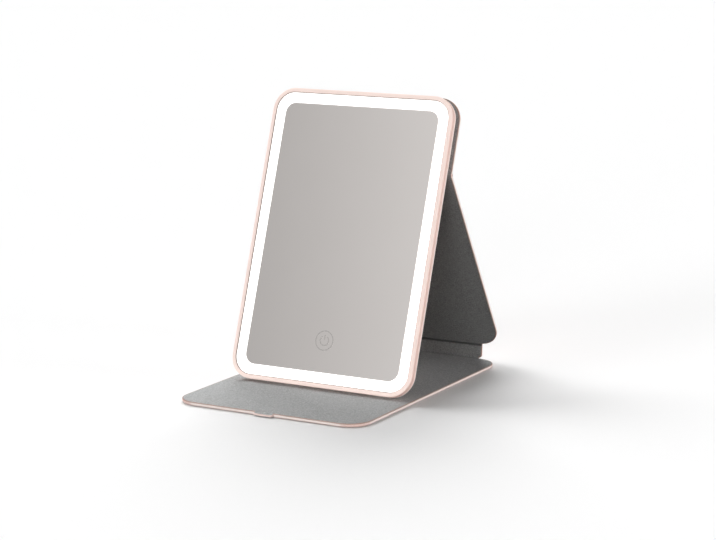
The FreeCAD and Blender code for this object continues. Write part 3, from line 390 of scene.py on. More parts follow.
# Finishes that show

PINK_SKIN = srgb(233, 202, 193)
# Pink of worn edges and of the painted highlight on the rims, then the painted highlight on sides and free
# ends
WEAR_AND_HIGHLIGHT_PINK = srgb(247, 224, 217)
PAINTED_EDGE_HIGHLIGHT = srgb(254, 239, 233)
PINK_PLASTIC = srgb(251, 213, 201)
# Pink of the painted glow and highlight on the housing
PAINTED_LIGHT_PINK = srgb(255, 234, 226)
# Painted shade where the leather meets its lining
PAINTED_SHADE_BROWN = srgb(150, 122, 110)
GREY_CLOTH = srgb(174, 175, 175)

# Leather: how far the rim is paled by a painted highlight, the gloss that wear adds, the pores' share of the
# grain, and how the painted brown shade along the edge at the lining wanders and fades
RIM_PALENESS = 0.85
WORN_GLOSS = 0.16
PORE_SHARE = 0.35
BROWN_WANDER = 0.3 * MILLIMETRE
BROWN_FADE_ABOVE = 0.2 * MILLIMETRE
BROWN_FADE_BELOW = 0.5 * MILLIMETRE

# Cloth: half the width of the painted shade along the tuck in a fold, the skin turned over its ends, the
# weave's share of its relief and the pitch of its threads
CREASE_SHADE_HALF = 1.1 * MILLIMETRE
TURNED_OVER = 0.2 * MILLIMETRE
WEAVE_SHARE = 0.5
THREAD = 0.62 * MILLIMETRE

# Housing: where its frame ends, behind its front face, and the line there
HOUSING_ROUGHNESS = 0.34
HOUSING_FRONT = across_panel("mirror", Vector((0.0, *MIRROR_FOOT)))
FRAME_DEPTH = 2.5 * MILLIMETRE
SEAM_HALF = 0.3 * MILLIMETRE


def leather(name, turn, ends, free_ends, lining_face, brown_depth):
    """Pink leather-like sheet: pebbled grain, mottled colour, paler and smoother where its edges are rubbed.

    Its rim has a painted highlight, palest on its sides and free ends, where it goes round the board. Where it
    is turned up against the lining it has a painted brown shade, down to the brown depth.
    """
    material, tree, shader = new_material(name)
    place = coordinates(tree, turn)
    mottle = noise(tree, place, size=35 * MILLIMETRE, detail=3.0)
    colour = blend_colours(tree, mottle, tinted(PINK_SKIN, 0.95), tinted(PINK_SKIN, 1.03))
    pebbles = cells(tree, place, size=1.1 * MILLIMETRE)
    pores = noise(tree, place, size=0.35 * MILLIMETRE, detail=2.0)
    valleys = spread(tree, pebbles, low=0.0, high=0.30, start=0.35, end=0.75)
    colour = mix_colours(tree, valleys, colour, tinted(PINK_SKIN, 0.72))
    rubbed = near_edge(tree, place, ends, band=5 * MILLIMETRE)
    patches = noise(tree, place, size=9 * MILLIMETRE, detail=3.0)
    patchy = spread(tree, patches, low=0.0, high=0.6, start=0.35, end=0.7)
    worn = arithmetic(tree, "MULTIPLY", rubbed, patchy)
    colour = mix_colours(tree, worn, colour, WEAR_AND_HIGHLIGHT_PINK)
    # Painted highlight along the rim of the panel
    rim = near_edge(tree, place, ends, band=1.4 * MILLIMETRE)
    colour = mix_colours(tree, arithmetic(tree, "MULTIPLY", rim, RIM_PALENESS), colour, WEAR_AND_HIGHLIGHT_PINK)
    # Painted highlight on the sides and free ends, where the leather goes round the board
    side = near_edge(tree, place, free_ends, band=0.35 * MILLIMETRE)
    colour = mix_colours(tree, side, colour, PAINTED_EDGE_HIGHLIGHT)
    # Painted brown shade where the leather is turned up against the lining
    below = arithmetic(tree, "SUBTRACT", lining_face, split(tree, place)[2])
    below = arithmetic(tree, "ADD", below, arithmetic(tree, "MULTIPLY", patches, BROWN_WANDER))
    painted_edge_shade = spread(tree, below, low=0.8, high=0.0, start=brown_depth - BROWN_FADE_ABOVE,
                     end=brown_depth + BROWN_FADE_BELOW)
    colour = mix_colours(tree, painted_edge_shade, colour, PAINTED_SHADE_BROWN)
    tree.links.new(colour, shader.inputs["Base Color"])
    dull = spread(tree, patches, low=0.50, high=0.64)
    gloss = arithmetic(tree, "MULTIPLY", worn, WORN_GLOSS)
    tree.links.new(arithmetic(tree, "SUBTRACT", dull, gloss), shader.inputs["Roughness"])
    shader.inputs["Specular IOR Level"].default_value = 0.38
    grain = arithmetic(tree, "SUBTRACT", arithmetic(tree, "MULTIPLY", pores, PORE_SHARE), pebbles)
    bump(tree, shader, grain, depth=0.22 * MILLIMETRE, strength=0.55)
    return material


def cloth(name, turn, tuck, cloth_shade):
    """Grey fine-woven lining: two sets of threads, flecks of lighter fibre and a soft, napped sheen.

    It has a painted shade in the tuck of a fold, at a place along its panel, and is pink at the ends of the
    top fold, where the skin is turned over it. The last argument scales its grey: a painted shade for how much
    light reaches its panel.
    """
    # Painted shade: the grey is scaled for how much light reaches this panel
    grey = tinted(GREY_CLOTH, cloth_shade)
    material, tree, shader = new_material(name)
    place = coordinates(tree, turn)
    weave = arithmetic(tree, "MAXIMUM", stripes(tree, place, THREAD, "X"), stripes(tree, place, THREAD, "Y"))
    flecks = noise(tree, place, size=1.2 * MILLIMETRE, detail=3.0)
    fibres = noise(tree, coordinates(tree, turn, stretch=(0.12, 1.0, 1.0)), size=0.8 * MILLIMETRE, detail=2.0)
    clouds = noise(tree, place, size=28 * MILLIMETRE, detail=3.0)
    colour = blend_colours(tree, flecks, tinted(grey, 0.68), tinted(grey, 1.34), start=0.34, end=0.66)
    dark_fibres = spread(tree, fibres, low=0.0, high=0.35, start=0.35, end=0.65)
    colour = mix_colours(tree, dark_fibres, colour, tinted(grey, 0.82))
    colour = mix_colours(tree, spread(tree, weave, low=0.30, high=0.0), colour, tinted(grey, 0.66))
    light_clouds = spread(tree, clouds, low=0.0, high=0.28, start=0.3, end=0.7)
    colour = mix_colours(tree, light_clouds, colour, tinted(grey, 1.08))
    x, y, _ = split(tree, place)
    away = arithmetic(tree, "ABSOLUTE", arithmetic(tree, "SUBTRACT", y, tuck))
    # Painted shade in the tuck of a fold
    painted_crease_shade = spread(tree, away, low=0.8, high=0.0, start=CREASE_SHADE_HALF / 2, end=CREASE_SHADE_HALF)
    colour = mix_colours(tree, painted_crease_shade, colour, tinted(grey, 0.30))
    fold_end = TOP_CREASE_WIDTH / 2
    turned = spread(tree, arithmetic(tree, "ABSOLUTE", x), low=0.0, high=1.0, start=fold_end - TURNED_OVER,
                    end=fold_end - TURNED_OVER / 2)
    colour = mix_colours(tree, turned, colour, PINK_SKIN)
    tree.links.new(colour, shader.inputs["Base Color"])
    tree.links.new(spread(tree, flecks, low=0.86, high=0.96), shader.inputs["Roughness"])
    shader.inputs["Specular IOR Level"].default_value = 0.18
    shader.inputs["Sheen Weight"].default_value = 0.10
    shader.inputs["Sheen Roughness"].default_value = 0.45
    height = arithmetic(tree, "ADD", arithmetic(tree, "MULTIPLY", weave, WEAVE_SHARE), flecks)
    bump(tree, shader, height, depth=0.16 * MILLIMETRE, strength=0.7)
    return material


def satin_plastic(name, colour, roughness, turn=0.0, shade=None):
    """Moulded plastic: fine spark-eroded grain, a trace of flow marks in colour and gloss.

    shade, where it is given, changes the colour from place to place, under the grain.
    """
    material, tree, shader = new_material(name)
    place = coordinates(tree, turn)
    flow = noise(tree, coordinates(tree, stretch=(0.35, 1.0, 1.0)), size=22 * MILLIMETRE, detail=3.0)
    fine = noise(tree, place, size=0.14 * MILLIMETRE, detail=2.0)
    handled = noise(tree, place, size=6 * MILLIMETRE, detail=4.0)
    tone = blend_colours(tree, flow, tinted(colour, 0.965), tinted(colour, 1.02))
    if shade:
        tone = shade(tree, place, tone)
    grain = spread(tree, fine, low=0.0, high=0.16, start=0.4, end=0.8)
    tree.links.new(mix_colours(tree, grain, tone, tinted(colour, 0.86)), shader.inputs["Base Color"])
    dull = spread(tree, handled, low=roughness - 0.05, high=roughness + 0.07)
    tree.links.new(dull, shader.inputs["Roughness"])
    bump(tree, shader, fine, depth=0.012 * MILLIMETRE, strength=0.6)
    return material


def shade_housing(tree, place, tone):
    """The housing's colour, paler at its front, a painted glow of the lit band in the lip, and paler at its
    back, a painted highlight on its rounded rear edge.

    Its frame and rear cover part in a dark line, behind which the side has a little painted shade.
    """
    behind = arithmetic(tree, "SUBTRACT", HOUSING_FRONT, split(tree, place)[2])
    # Painted glow of the lit band in the lip
    lip = spread(tree, behind, low=1.0, high=0.0, start=0.1 * MILLIMETRE, end=1.6 * MILLIMETRE)
    # Painted highlight on the rounded rear edge
    rear = spread(tree, behind, low=0.0, high=1.0, start=4.8 * MILLIMETRE, end=5.6 * MILLIMETRE)
    tone = mix_colours(tree, arithmetic(tree, "MAXIMUM", lip, rear), tone, PAINTED_LIGHT_PINK)
    off_seam = arithmetic(tree, "ABSOLUTE", arithmetic(tree, "SUBTRACT", behind, FRAME_DEPTH))
    seam = spread(tree, off_seam, low=0.9, high=0.0, start=SEAM_HALF / 2, end=SEAM_HALF)
    tone = mix_colours(tree, seam, tone, tinted(PINK_PLASTIC, 0.50))
    # Painted shade on the side between the seam and the rear highlight
    past_seam = spread(tree, behind, low=0.0, high=1.0, start=FRAME_DEPTH, end=FRAME_DEPTH + SEAM_HALF)
    before_rear = spread(tree, behind, low=0.35, high=0.0, start=4.6 * MILLIMETRE, end=5.2 * MILLIMETRE)
    painted_side_shade = arithmetic(tree, "MULTIPLY", past_seam, before_rear)
    return mix_colours(tree, painted_side_shade, tone, tinted(PINK_PLASTIC, 0.70))


def mirror_glass(name):
    """Silvered glass, with the faintest smears in its gloss."""
    material, tree, shader = new_material(name)
    smears = noise(tree, coordinates(tree, stretch=(0.4, 1.0, 1.0)), size=18 * MILLIMETRE, detail=5.0)
    silver = noise(tree, coordinates(tree), size=45 * MILLIMETRE, detail=2.0)
    tone = blend_colours(tree, silver, (0.930, 0.882, 0.854, 1.0), (0.944, 0.896, 0.869, 1.0))
    tree.links.new(tone, shader.inputs["Base Color"])
    shader.inputs["Metallic"].default_value = 1.0
    smeared = spread(tree, smears, low=0.010, high=0.035, start=0.45, end=0.85)
    tree.links.new(smeared, shader.inputs["Roughness"])
    return material


def opal(name):
    """Lit opal plastic, a touch warmer between the lamps behind it."""
    material, tree, shader = new_material(name)
    place = coordinates(tree)
    glow = noise(tree, place, size=12 * MILLIMETRE, detail=1.0)
    frost = noise(tree, place, size=0.25 * MILLIMETRE, detail=2.0)
    tone = blend_colours(tree, frost, (0.80, 0.80, 0.79, 1.0), (0.86, 0.86, 0.85, 1.0))
    tree.links.new(tone, shader.inputs["Base Color"])
    warm = blend_colours(tree, glow, (1.0, 0.985, 0.965, 1.0), (1.0, 1.0, 0.995, 1.0))
    tree.links.new(warm, shader.inputs["Emission Color"])
    shader.inputs["Emission Strength"].default_value = 0.85
    tree.links.new(spread(tree, frost, low=0.38, high=0.52), shader.inputs["Roughness"])
    bump(tree, shader, frost, depth=0.01 * MILLIMETRE, strength=0.5)
    return material


def etched(name):
    """The touch mark, etched into the silver: a frosted grey that still mirrors a little."""
    material, tree, shader = new_material(name)
    frost = noise(tree, coordinates(tree), size=0.2 * MILLIMETRE, detail=2.0)
    tone = blend_colours(tree, frost, (0.66, 0.63, 0.61, 1.0), (0.72, 0.69, 0.67, 1.0))
    tree.links.new(tone, shader.inputs["Base Color"])
    shader.inputs["Metallic"].default_value = 1.0
    tree.links.new(spread(tree, frost, low=0.18, high=0.28), shader.inputs["Roughness"])
    bump(tree, shader, frost, depth=0.01 * MILLIMETRE, strength=0.5)
    return material


# Finishes inside the housing and in its openings

# How much coarser the mottle of a plain material is than its grain
MOTTLE_TO_GRAIN = 8


def moulded(name, colour, roughness, grain, depth):
    """Any plain technical material: mottled colour, uneven gloss and its own grain."""
    material, tree, shader = new_material(name)
    place = coordinates(tree)
    mottle = noise(tree, place, size=MOTTLE_TO_GRAIN * grain, detail=3.0)
    fine = noise(tree, place, size=grain, detail=3.0)
    tone = blend_colours(tree, mottle, tinted(colour, 0.86), tinted(colour, 1.10))
    dark = spread(tree, fine, low=0.0, high=0.4, start=0.35, end=0.75)
    tree.links.new(mix_colours(tree, dark, tone, tinted(colour, 0.70)), shader.inputs["Base Color"])
    dull = spread(tree, fine, low=roughness - 0.08, high=roughness + 0.10)
    tree.links.new(dull, shader.inputs["Roughness"])
    bump(tree, shader, fine, depth, strength=0.6)
    return material


def brushed(name, colour, roughness):
    """Plated or rolled metal with fine scratches along X."""
    material, tree, shader = new_material(name)
    scratches = noise(tree, coordinates(tree, stretch=(0.04, 1.0, 1.0)), size=0.12 * MILLIMETRE, detail=2.0)
    stains = noise(tree, coordinates(tree), size=3 * MILLIMETRE, detail=3.0)
    tone = blend_colours(tree, stains, tinted(colour, 0.90), tinted(colour, 1.06))
    dark = spread(tree, scratches, low=0.0, high=0.3, start=0.4, end=0.7)
    tree.links.new(mix_colours(tree, dark, tone, tinted(colour, 0.78)), shader.inputs["Base Color"])
    shader.inputs["Metallic"].default_value = 1.0
    dull = spread(tree, scratches, low=roughness - 0.06, high=roughness + 0.10)
    tree.links.new(dull, shader.inputs["Roughness"])
    bump(tree, shader, scratches, depth=0.006 * MILLIMETRE, strength=0.5)
    return material


def lacquered_circuit(name):
    """Green solder lacquer over faint copper tracks."""
    material, tree, shader = new_material(name)
    place = coordinates(tree, MIRROR_TILT)
    tracks = stripes(tree, place, 1.3 * MILLIMETRE, "X")
    mottle = noise(tree, place, size=4 * MILLIMETRE, detail=2.0)
    ground = blend_colours(tree, mottle, (0.010, 0.085, 0.032, 1.0), (0.016, 0.120, 0.048, 1.0))
    shining = spread(tree, tracks, low=0.0, high=0.6, start=0.72, end=0.85)
    tree.links.new(mix_colours(tree, shining, ground, (0.05, 0.22, 0.08, 1.0)), shader.inputs["Base Color"])
    tree.links.new(spread(tree, mottle, low=0.22, high=0.34), shader.inputs["Roughness"])
    bump(tree, shader, tracks, depth=0.03 * MILLIMETRE, strength=0.4)
    return material


# Finishes of the cover, by body. An end of a panel that isn't free is set far away.

FAR = 1.0
TOP_START = along_panel("mirror", TOP_AXIS) + SETBACK
ENDS = {
    "base": (BASE_FRONT, BASE_AXIS.y - SETBACK),
    "spine": (along_panel("spine", BASE_AXIS) + SETBACK, along_panel("spine", LEG_AXIS) - SETBACK),
    "leg": (along_panel("leg", LEG_AXIS) + SETBACK, along_panel("leg", TOP_AXIS) - SETBACK),
    "mirror": (TOP_START, TOP_START + UPPER_LENGTH),
}
FREE_ENDS = {
    "base": (ENDS["base"][0], FAR),
    "spine": (-FAR, FAR),
    "leg": (-FAR, FAR),
    "mirror": (-FAR, ENDS["mirror"][1]),
}
LINING_FACE = {
    "base": across_panel("base", BASE_AXIS) + FOLD_ROLL,
    "spine": across_panel("spine", BASE_AXIS) + FOLD_ROLL,
    "leg": across_panel("leg", LEG_AXIS) + FOLD_ROLL,
    "mirror": across_panel("mirror", TOP_AXIS) - FOLD_ROLL + PANEL,
}
BROWN_DEPTH = {
    "base": 0.7 * MILLIMETRE,
    "spine": 0.6 * MILLIMETRE,
    "leg": 0.6 * MILLIMETRE,
    "mirror": 0.6 * MILLIMETRE,
}
TUCK = {
    "base": along_panel("base", BASE_AXIS),
    "spine": along_panel("spine", LEG_AXIS),
    "leg": along_panel("leg", LEG_AXIS),
    "mirror": along_panel("mirror", TOP_AXIS),
}
# Painted shade on each body's lining, as a factor on its grey, for how much light reaches that panel
CLOTH_SHADE = {"base": 1.01, "spine": 0.86, "leg": 0.73, "mirror": 0.84}


def panel_leather(name, body, free_ends):
    """The leather of a body's panel."""
    return leather(name, LIE[body], ENDS[body], free_ends, LINING_FACE[body], BROWN_DEPTH[body])


LEATHERS = {body: panel_leather(f"cover_skin_{body}", body, FREE_ENDS[body]) for body in LIE}
TAB_LEATHER = panel_leather("cover_skin_tab", "base", (-FAR, FAR))
CLOTHS = {body: cloth(f"cover_lining_{body}", LIE[body], TUCK[body], CLOTH_SHADE[body]) for body in LIE}

# All other finishes, by material slot: colour and roughness, and for moulded ones the grain's size and depth
MOULDED = {
    "cover_board": (srgb(178, 158, 128), 0.85, 0.6 * MILLIMETRE, 0.05 * MILLIMETRE),
    "foam_tape": (srgb(46, 46, 47), 0.88, 0.3 * MILLIMETRE, 0.08 * MILLIMETRE),
    "lamp": (srgb(240, 205, 92), 0.35, 0.2 * MILLIMETRE, 0.01 * MILLIMETRE),
    "chip": (srgb(38, 38, 40), 0.55, 0.15 * MILLIMETRE, 0.01 * MILLIMETRE),
    "ferrite": (srgb(70, 70, 72), 0.70, 0.2 * MILLIMETRE, 0.03 * MILLIMETRE),
    "wire": (srgb(170, 34, 30), 0.46, 0.5 * MILLIMETRE, 0.01 * MILLIMETRE),
}
SATIN = {
    "tray": (srgb(238, 238, 236), 0.40),
    "lamp_strip": (srgb(232, 226, 206), 0.45),
    "connector": (srgb(226, 220, 204), 0.48),
}
BRUSHED = {
    "copper": (srgb(214, 150, 110), 0.30),
    "steel": (srgb(196, 196, 198), 0.28),
    "battery": (srgb(206, 208, 212), 0.36),
    "magnet": (srgb(206, 206, 208), 0.20),
}
# Look of the dark bead that paints the shade line at the lit band's edge
SHADE_BEAD_LOOK = (srgb(160, 140, 132), 0.6, 0.2 * MILLIMETRE, 0.02 * MILLIMETRE)
FINISHES = {
    "housing": satin_plastic("housing", PINK_PLASTIC, HOUSING_ROUGHNESS, LIE["mirror"], shade_housing),
    "mirror": mirror_glass("mirror"),
    "diffuser": opal("diffuser"),
    "print": etched("print"),
    "circuit": lacquered_circuit("circuit"),
    **{slot: moulded(slot, *look) for slot, look in MOULDED.items()},
    **{slot: satin_plastic(slot, *look) for slot, look in SATIN.items()},
    **{slot: brushed(slot, *look) for slot, look in BRUSHED.items()},
}


# Pieces

def smooth(data):
    """Smooth shading that stops at sharp edges."""
    data.shade_smooth()
    data.set_sharp_from_angle(angle=math.radians(SHARP_EDGE))


def add_object(name, data):
    """Puts a mesh, a lamp or a camera into the scene."""
    item = bpy.data.objects.new(name, data)
    bpy.context.scene.collection.objects.link(item)
    return item


def add_piece(name, mesh, material):
    """Turns a mesh that has been built into a piece of the scene."""
    bmesh.ops.recalc_face_normals(mesh, faces=mesh.faces)
    data = bpy.data.meshes.new(name)
    mesh.to_mesh(data)
    mesh.free()
    smooth(data)
    data.materials.append(material)
    return add_object(name, data)


def bridge(mesh, one, other, closed):
    """Faces between two rows of corners, or between two rings where they are closed."""
    count = len(one)
    for index in range(count if closed else count - 1):
        following = (index + 1) % count
        mesh.faces.new((one[index], one[following], other[following], other[index]))


def finish_nodes():
    """Gives each CAD node its finish."""
    slots = {part["node"]: part["material_slot"] for part in frame["record"]["subparts"]}
    for node, piece in frame["nodes"].items():
        body = piece["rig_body"]
        if node == "pull_tab":
            material = TAB_LEATHER
        elif slots[node] == "cover_skin":
            material = LEATHERS[body]
        elif slots[node] == "cover_lining":
            material = CLOTHS[body]
        else:
            material = FINISHES[slots[node]]
        for entry in piece.material_slots:
            entry.material = material
        smooth(piece.data)


# Creases of the cover

# The way a crease goes round its fold's axis, as seen with +Y to the right and +Z up
LEFT, RIGHT = 1, -1


def outer_bend(first, last, radii, tail, side):
    """A curve round a fold's axis, between straight runs on the two panels.

    first and last are the angles of the ways in which the panels' faces look.
    """
    points = [heading(first) * radii[0] - heading(first + 90 * side) * tail]
    for step in range(CREASE_STEPS + 1):
        share = step / CREASE_STEPS
        eased = share * share * (3 - 2 * share)
        radius = radii[0] + (radii[1] - radii[0]) * eased
        points.append(heading(first + (last - first) * share) * radius)
    points.append(heading(last) * radii[1] + heading(last + 90 * side) * tail)
    return points


def inner_bend(first, last, reach, tail, side):
    """A soft hollow between the faces of two panels that lean towards each other."""
    run, rise = heading(first + 90 * side), heading(last + 90 * side)
    start = heading(first) * reach - run * tail
    end = heading(last) * reach + rise * tail
    meeting = start + run * ((end - start).cross(rise) / run.cross(rise))
    points = []
    for step in range(CREASE_STEPS + 1):
        share = step / CREASE_STEPS
        points.append(start * (1 - share) ** 2 + meeting * 2 * share * (1 - share) + end * share ** 2)
    return points


def valley_bend(first, last, reach, tail, side):
    """Like the hollow, but with a narrow valley along the axis, where the cloth is tucked in."""
    run, rise = heading(first + 90 * side), heading(last + 90 * side)
    near, far = heading(first) * reach, heading(last) * reach
    middle = (heading(first) + heading(last)).normalized()
    return [
        near - run * tail,
        near - run * (VALLEY_HALF + tail) / 2,
        near - run * VALLEY_HALF,
        heading(first) * VALLEY_FLOOR_HEIGHT * reach - run * VALLEY_HALF * VALLEY_FLOOR_WIDTH,
        -middle * VALLEY_DROP,
        heading(last) * VALLEY_FLOOR_HEIGHT * reach + rise * VALLEY_HALF * VALLEY_FLOOR_WIDTH,
        far + rise * VALLEY_HALF,
        far + rise * (VALLEY_HALF + tail) / 2,
        far + rise * tail,
    ]


def moved_in(points, depth):
    """The curve's other face, which lies a depth to the left of its run."""
    shifted = []
    for index, point in enumerate(points):
        before, after = points[max(index - 1, 0)], points[min(index + 1, len(points) - 1)]
        run = (after - before).normalized()
        normal = Vector((-run.y, run.x))
        shifted.append(point + normal * depth)
    return shifted


# A fold of the cover, with the node that its crease replaces and the two bodies that it joins
Fold = namedtuple("Fold", "name axis width node bodies")


def crease(fold, layer, face, depth, ripple, material):
    """A bent strip of the cover along a fold, slightly rippled along its length.

    layer is skin or lining, face is the curve of the side that shows, and depth leads to its other side.
    """
    name, axis, width, node, bodies = fold
    back = moved_in(face, depth)
    mesh = bmesh.new()
    rings = []
    for column in range(CREASE_COLUMNS + 1):
        x = (column / CREASE_COLUMNS - 0.5) * width
        wave = sum(share * math.sin(x / size + start) for share, size, start in RIPPLE_WAVES)
        ring = []
        for index, (front_point, back_point) in enumerate(zip(face, back)):
            middle = math.sin(math.pi * index / (len(face) - 1))
            sunk = ripple * middle * (RIPPLE_LEVEL + RIPPLE_SWING * wave)
            place = front_point + (back_point - front_point) / abs(depth) * sunk
            ring.append(mesh.verts.new((x, axis.y + place.x, axis.z + place.y)))
        for back_point in reversed(back):
            ring.append(mesh.verts.new((x, axis.y + back_point.x, axis.z + back_point.y)))
        rings.append(ring)
    for left, right in zip(rings, rings[1:]):
        bridge(mesh, left, right, closed=True)
    mesh.faces.new(rings[0])
    mesh.faces.new(list(reversed(rings[-1])))
    piece = add_piece(f"{name}_{layer}", mesh, material)
    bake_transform(piece)
    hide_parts(node)


def make_creases():
    """Skin and lining where the cover folds: at the base, at the foot of the leg and at its top."""
    base_fold = Fold("base_crease", BASE_AXIS, SPINE_WIDTH - 2 * SPINE_CORNER, "base_fold", ("base", "spine"))
    leg_fold = Fold("leg_crease", LEG_AXIS, SPINE_WIDTH, "leg_fold", ("spine", "leg"))
    top_fold = Fold("top_crease", TOP_AXIS, TOP_CREASE_WIDTH, "top_fold", ("leg", "mirror"))
    for fold, radii, bend in (
        (base_fold, (PANEL_OUTSIDE, SPINE_OUTSIDE), inner_bend),
        (leg_fold, (SPINE_OUTSIDE, PANEL_OUTSIDE), valley_bend),
    ):
        first, last = fold.bodies
        skin = outer_bend(OUTWARD[first], OUTWARD[last], radii, SKIN_TAIL, LEFT)
        crease(fold, "skin", skin, SKIN, SKIN_RIPPLE, LEATHERS[first])
        lining = bend(INWARD[first], INWARD[last], LINING_INSIDE, LINING_TAIL, RIGHT)
        crease(fold, "lining", lining, -LINING, LINING_RIPPLE, CLOTHS[last])
    lining = outer_bend(INWARD["leg"], INWARD["mirror"], (TOP_OUTSIDE, TOP_OUTSIDE), LINING_TAIL, RIGHT)
    crease(top_fold, "lining", lining, -TOP_FILL, LINING_RIPPLE, CLOTHS["leg"])
    skin = inner_bend(OUTWARD["leg"], OUTWARD["mirror"], PANEL_INSIDE, SKIN_TAIL, LEFT)
    crease(top_fold, "skin", skin, LINING, SKIN_RIPPLE, LEATHERS["leg"])


# Lining of the spine and of the pull tab

def lining_sheet(name, front, back, body):
    """A closed sheet of lining between two grids of points, which rides on a body."""
    mesh = bmesh.new()
    sheets = []
    for grid in (front, back):
        rows = [[mesh.verts.new(point) for point in row] for row in grid]
        sheets.append(rows)
        for low, high in zip(rows, rows[1:]):
            bridge(mesh, low, high, closed=False)
    front, back = sheets
    borders = [(front[0], back[0]), (front[-1], back[-1])]
    borders += [([row[end] for row in front], [row[end] for row in back]) for end in (0, -1)]
    for one, other in borders:
        bridge(mesh, one, other, closed=False)
    piece = add_piece(name, mesh, CLOTHS[body])
    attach(piece, body)
    return piece


def corner_inset(radius, distance):
    """How far a rounded corner has pulled the side in, at a distance from the end."""
    short = max(0.0, radius - distance)
    return radius - math.sqrt(max(0.0, radius * radius - short * short))


def rib_height(x):
    """The height of the spine's ribs at a place across it."""
    wander = RIB_WANDER * math.sin(x / RIB_WANDER_SIZE)
    rib = RIB_SHARE * math.sin(2 * math.pi * x / RIB_PITCH + wander)
    rib += SLOW_RIB_SHARE * math.sin(2 * math.pi * x / SLOW_RIB_PITCH + SLOW_RIB_START)
    return RIB_HEIGHT / 2 * (1 + rib)


def make_spine_cloth():
    """The spine's lining, gathered into upright ribs and a little pillowed between its creases."""
    along, inward = heading(LIE["spine"]), heading(INWARD["spine"])
    foot = Vector((BASE_AXIS.y, BASE_AXIS.z))
    length = (LEG_AXIS - BASE_AXIS).length - 2 * (SETBACK + RIM)
    front, back = [], []
    for row in range(RIB_ROWS + 1):
        share = row / RIB_ROWS
        half = SPINE_WIDTH / 2 - RIM - corner_inset(SPINE_CORNER - RIM, share * length)
        swell = math.sqrt(math.sin(math.pi * share)) if 0 < share < 1 else 0.0
        level = foot + along * (SETBACK + RIM + share * length)
        places = [(2 * column / RIB_COLUMNS - 1) * half for column in range(RIB_COLUMNS + 1)]
        front.append([(x, *(level + inward * (FOLD_ROLL + swell * (SPINE_PILLOW + rib_height(x)))))
                      for x in places])
        back.append([(x, *level) for x in places])
    piece = lining_sheet("spine_cloth", front, back, "spine")
    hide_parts("spine_lining")


def make_tab_tongue():
    """The base's lining, carried on over the front edge and the top of the pull tab."""
    edge = [(behind, share * LINING_FACE["base"]) for behind, share in TONGUE_OVER_EDGE]
    edge += [(behind, TAB_TOP + rise * MILLIMETRE) for behind, rise in TONGUE_TO_TAB]
    landing = TONGUE_TO_TAB[-1][0]
    run = TAB_REACH / MILLIMETRE - TONGUE_STOPS_SHORT + landing
    edge += [(landing - run * step / TONGUE_STEPS, TAB_TOP) for step in range(1, TONGUE_STEPS + 1)]
    under = [Vector((BASE_FRONT + behind * MILLIMETRE, height)) for behind, height in edge]
    front_end = under[-1].x
    grids = []
    for line in (moved_in(under, -TONGUE), under):
        grid = []
        for point in line:
            half = TAB_WIDTH / 2 - corner_inset(TAB_CORNER, point.x - front_end)
            grid.append([(half * (2 * column / TONGUE_STEPS - 1), point.x, point.y)
                         for column in range(TONGUE_STEPS + 1)])
        grids.append(grid)
    lining_sheet("tab_tongue", *grids, "base")


# Dark bead at the lit band's edge, a painted shade line

def rounded_outline(inset):
    """Points round the mirror's outline, an inset further in, as pairs from the middle of the mirror."""
    half_width, half_height = [side / 2 - inset for side in MIRROR_SIZE]
    radius = MIRROR_CORNER - inset
    points = []
    for quarter, (right, above) in enumerate(((1, 1), (-1, 1), (-1, -1), (1, -1))):
        for step in range(SHADE_BEAD_CORNER_STEPS + 1):
            turn = heading(90 * (quarter + step / SHADE_BEAD_CORNER_STEPS))
            points.append((right * (half_width - radius) + turn.x * radius,
                           above * (half_height - radius) + turn.y * radius))
    return points


def make_shade_bead():
    """A thin dark rounded bead that fills the step between the frame's lip and the lit band: a painted shade
    line along the lip's inner edge.
    """
    up, back = heading(LIE["mirror"]), heading(OUTWARD["mirror"])
    foot = Vector(MIRROR_FOOT)
    mesh = bmesh.new()
    rings = []
    for across, rise in SHADE_BEAD_SECTION:
        depth = BAND_DEPTH - rise * SHADE_BEAD_HEIGHT
        ring = []
        for x, height in rounded_outline(BEZEL + across * SHADE_BEAD_WIDTH):
            place = foot + up * (height + MIRROR_SIZE[1] / 2) + back * depth
            ring.append(mesh.verts.new((x, place.x, place.y)))
        rings.append(ring)
    for one, other in zip(rings, rings[1:] + rings[:1]):
        bridge(mesh, one, other, closed=True)
    bead_piece = add_piece("shade_line_bead", mesh, moulded("shade_line_bead", *SHADE_BEAD_LOOK))
    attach(bead_piece, "mirror")


# Studio

def ray_kinds(tree):
    """1 for rays from the camera, and 1 for those that gloss or glass sends on."""
    path = tree.nodes.new("ShaderNodeLightPath")
    sent_on = arithmetic(tree, "MAXIMUM", path.outputs["Is Glossy Ray"], path.outputs["Is Transmission Ray"])
    return path.outputs["Is Camera Ray"], sent_on


def make_floor():
    """A plain white table that keeps the object's shadow."""
    data = bpy.data.meshes.new("floor")
    corners = [(x * FLOOR_HALF, y * FLOOR_HALF, -FLOOR_DROP) for x, y in ((-1, -1), (1, -1), (1, 1), (-1, 1))]
    data.from_pydata(corners, [], [(0, 1, 2, 3)])
    floor = add_object("floor", data)
    material, tree, shader = new_material("floor")
    seen = arithmetic(tree, "MAXIMUM", *ray_kinds(tree))
    greys = [(level, level, level, 1.0) for level in (FLOOR_BOUNCE, FLOOR_GREY)]
    tree.links.new(mix_colours(tree, seen, *greys), shader.inputs["Base Color"])
    shader.inputs["Roughness"].default_value = FLOOR_ROUGHNESS
    shader.inputs["Specular IOR Level"].default_value = 0.0
    shader.inputs["Emission Color"].default_value = WHITE
    tree.links.new(arithmetic(tree, "MULTIPLY", seen, FLOOR_GLOW), shader.inputs["Emission Strength"])
    data.materials.append(material)


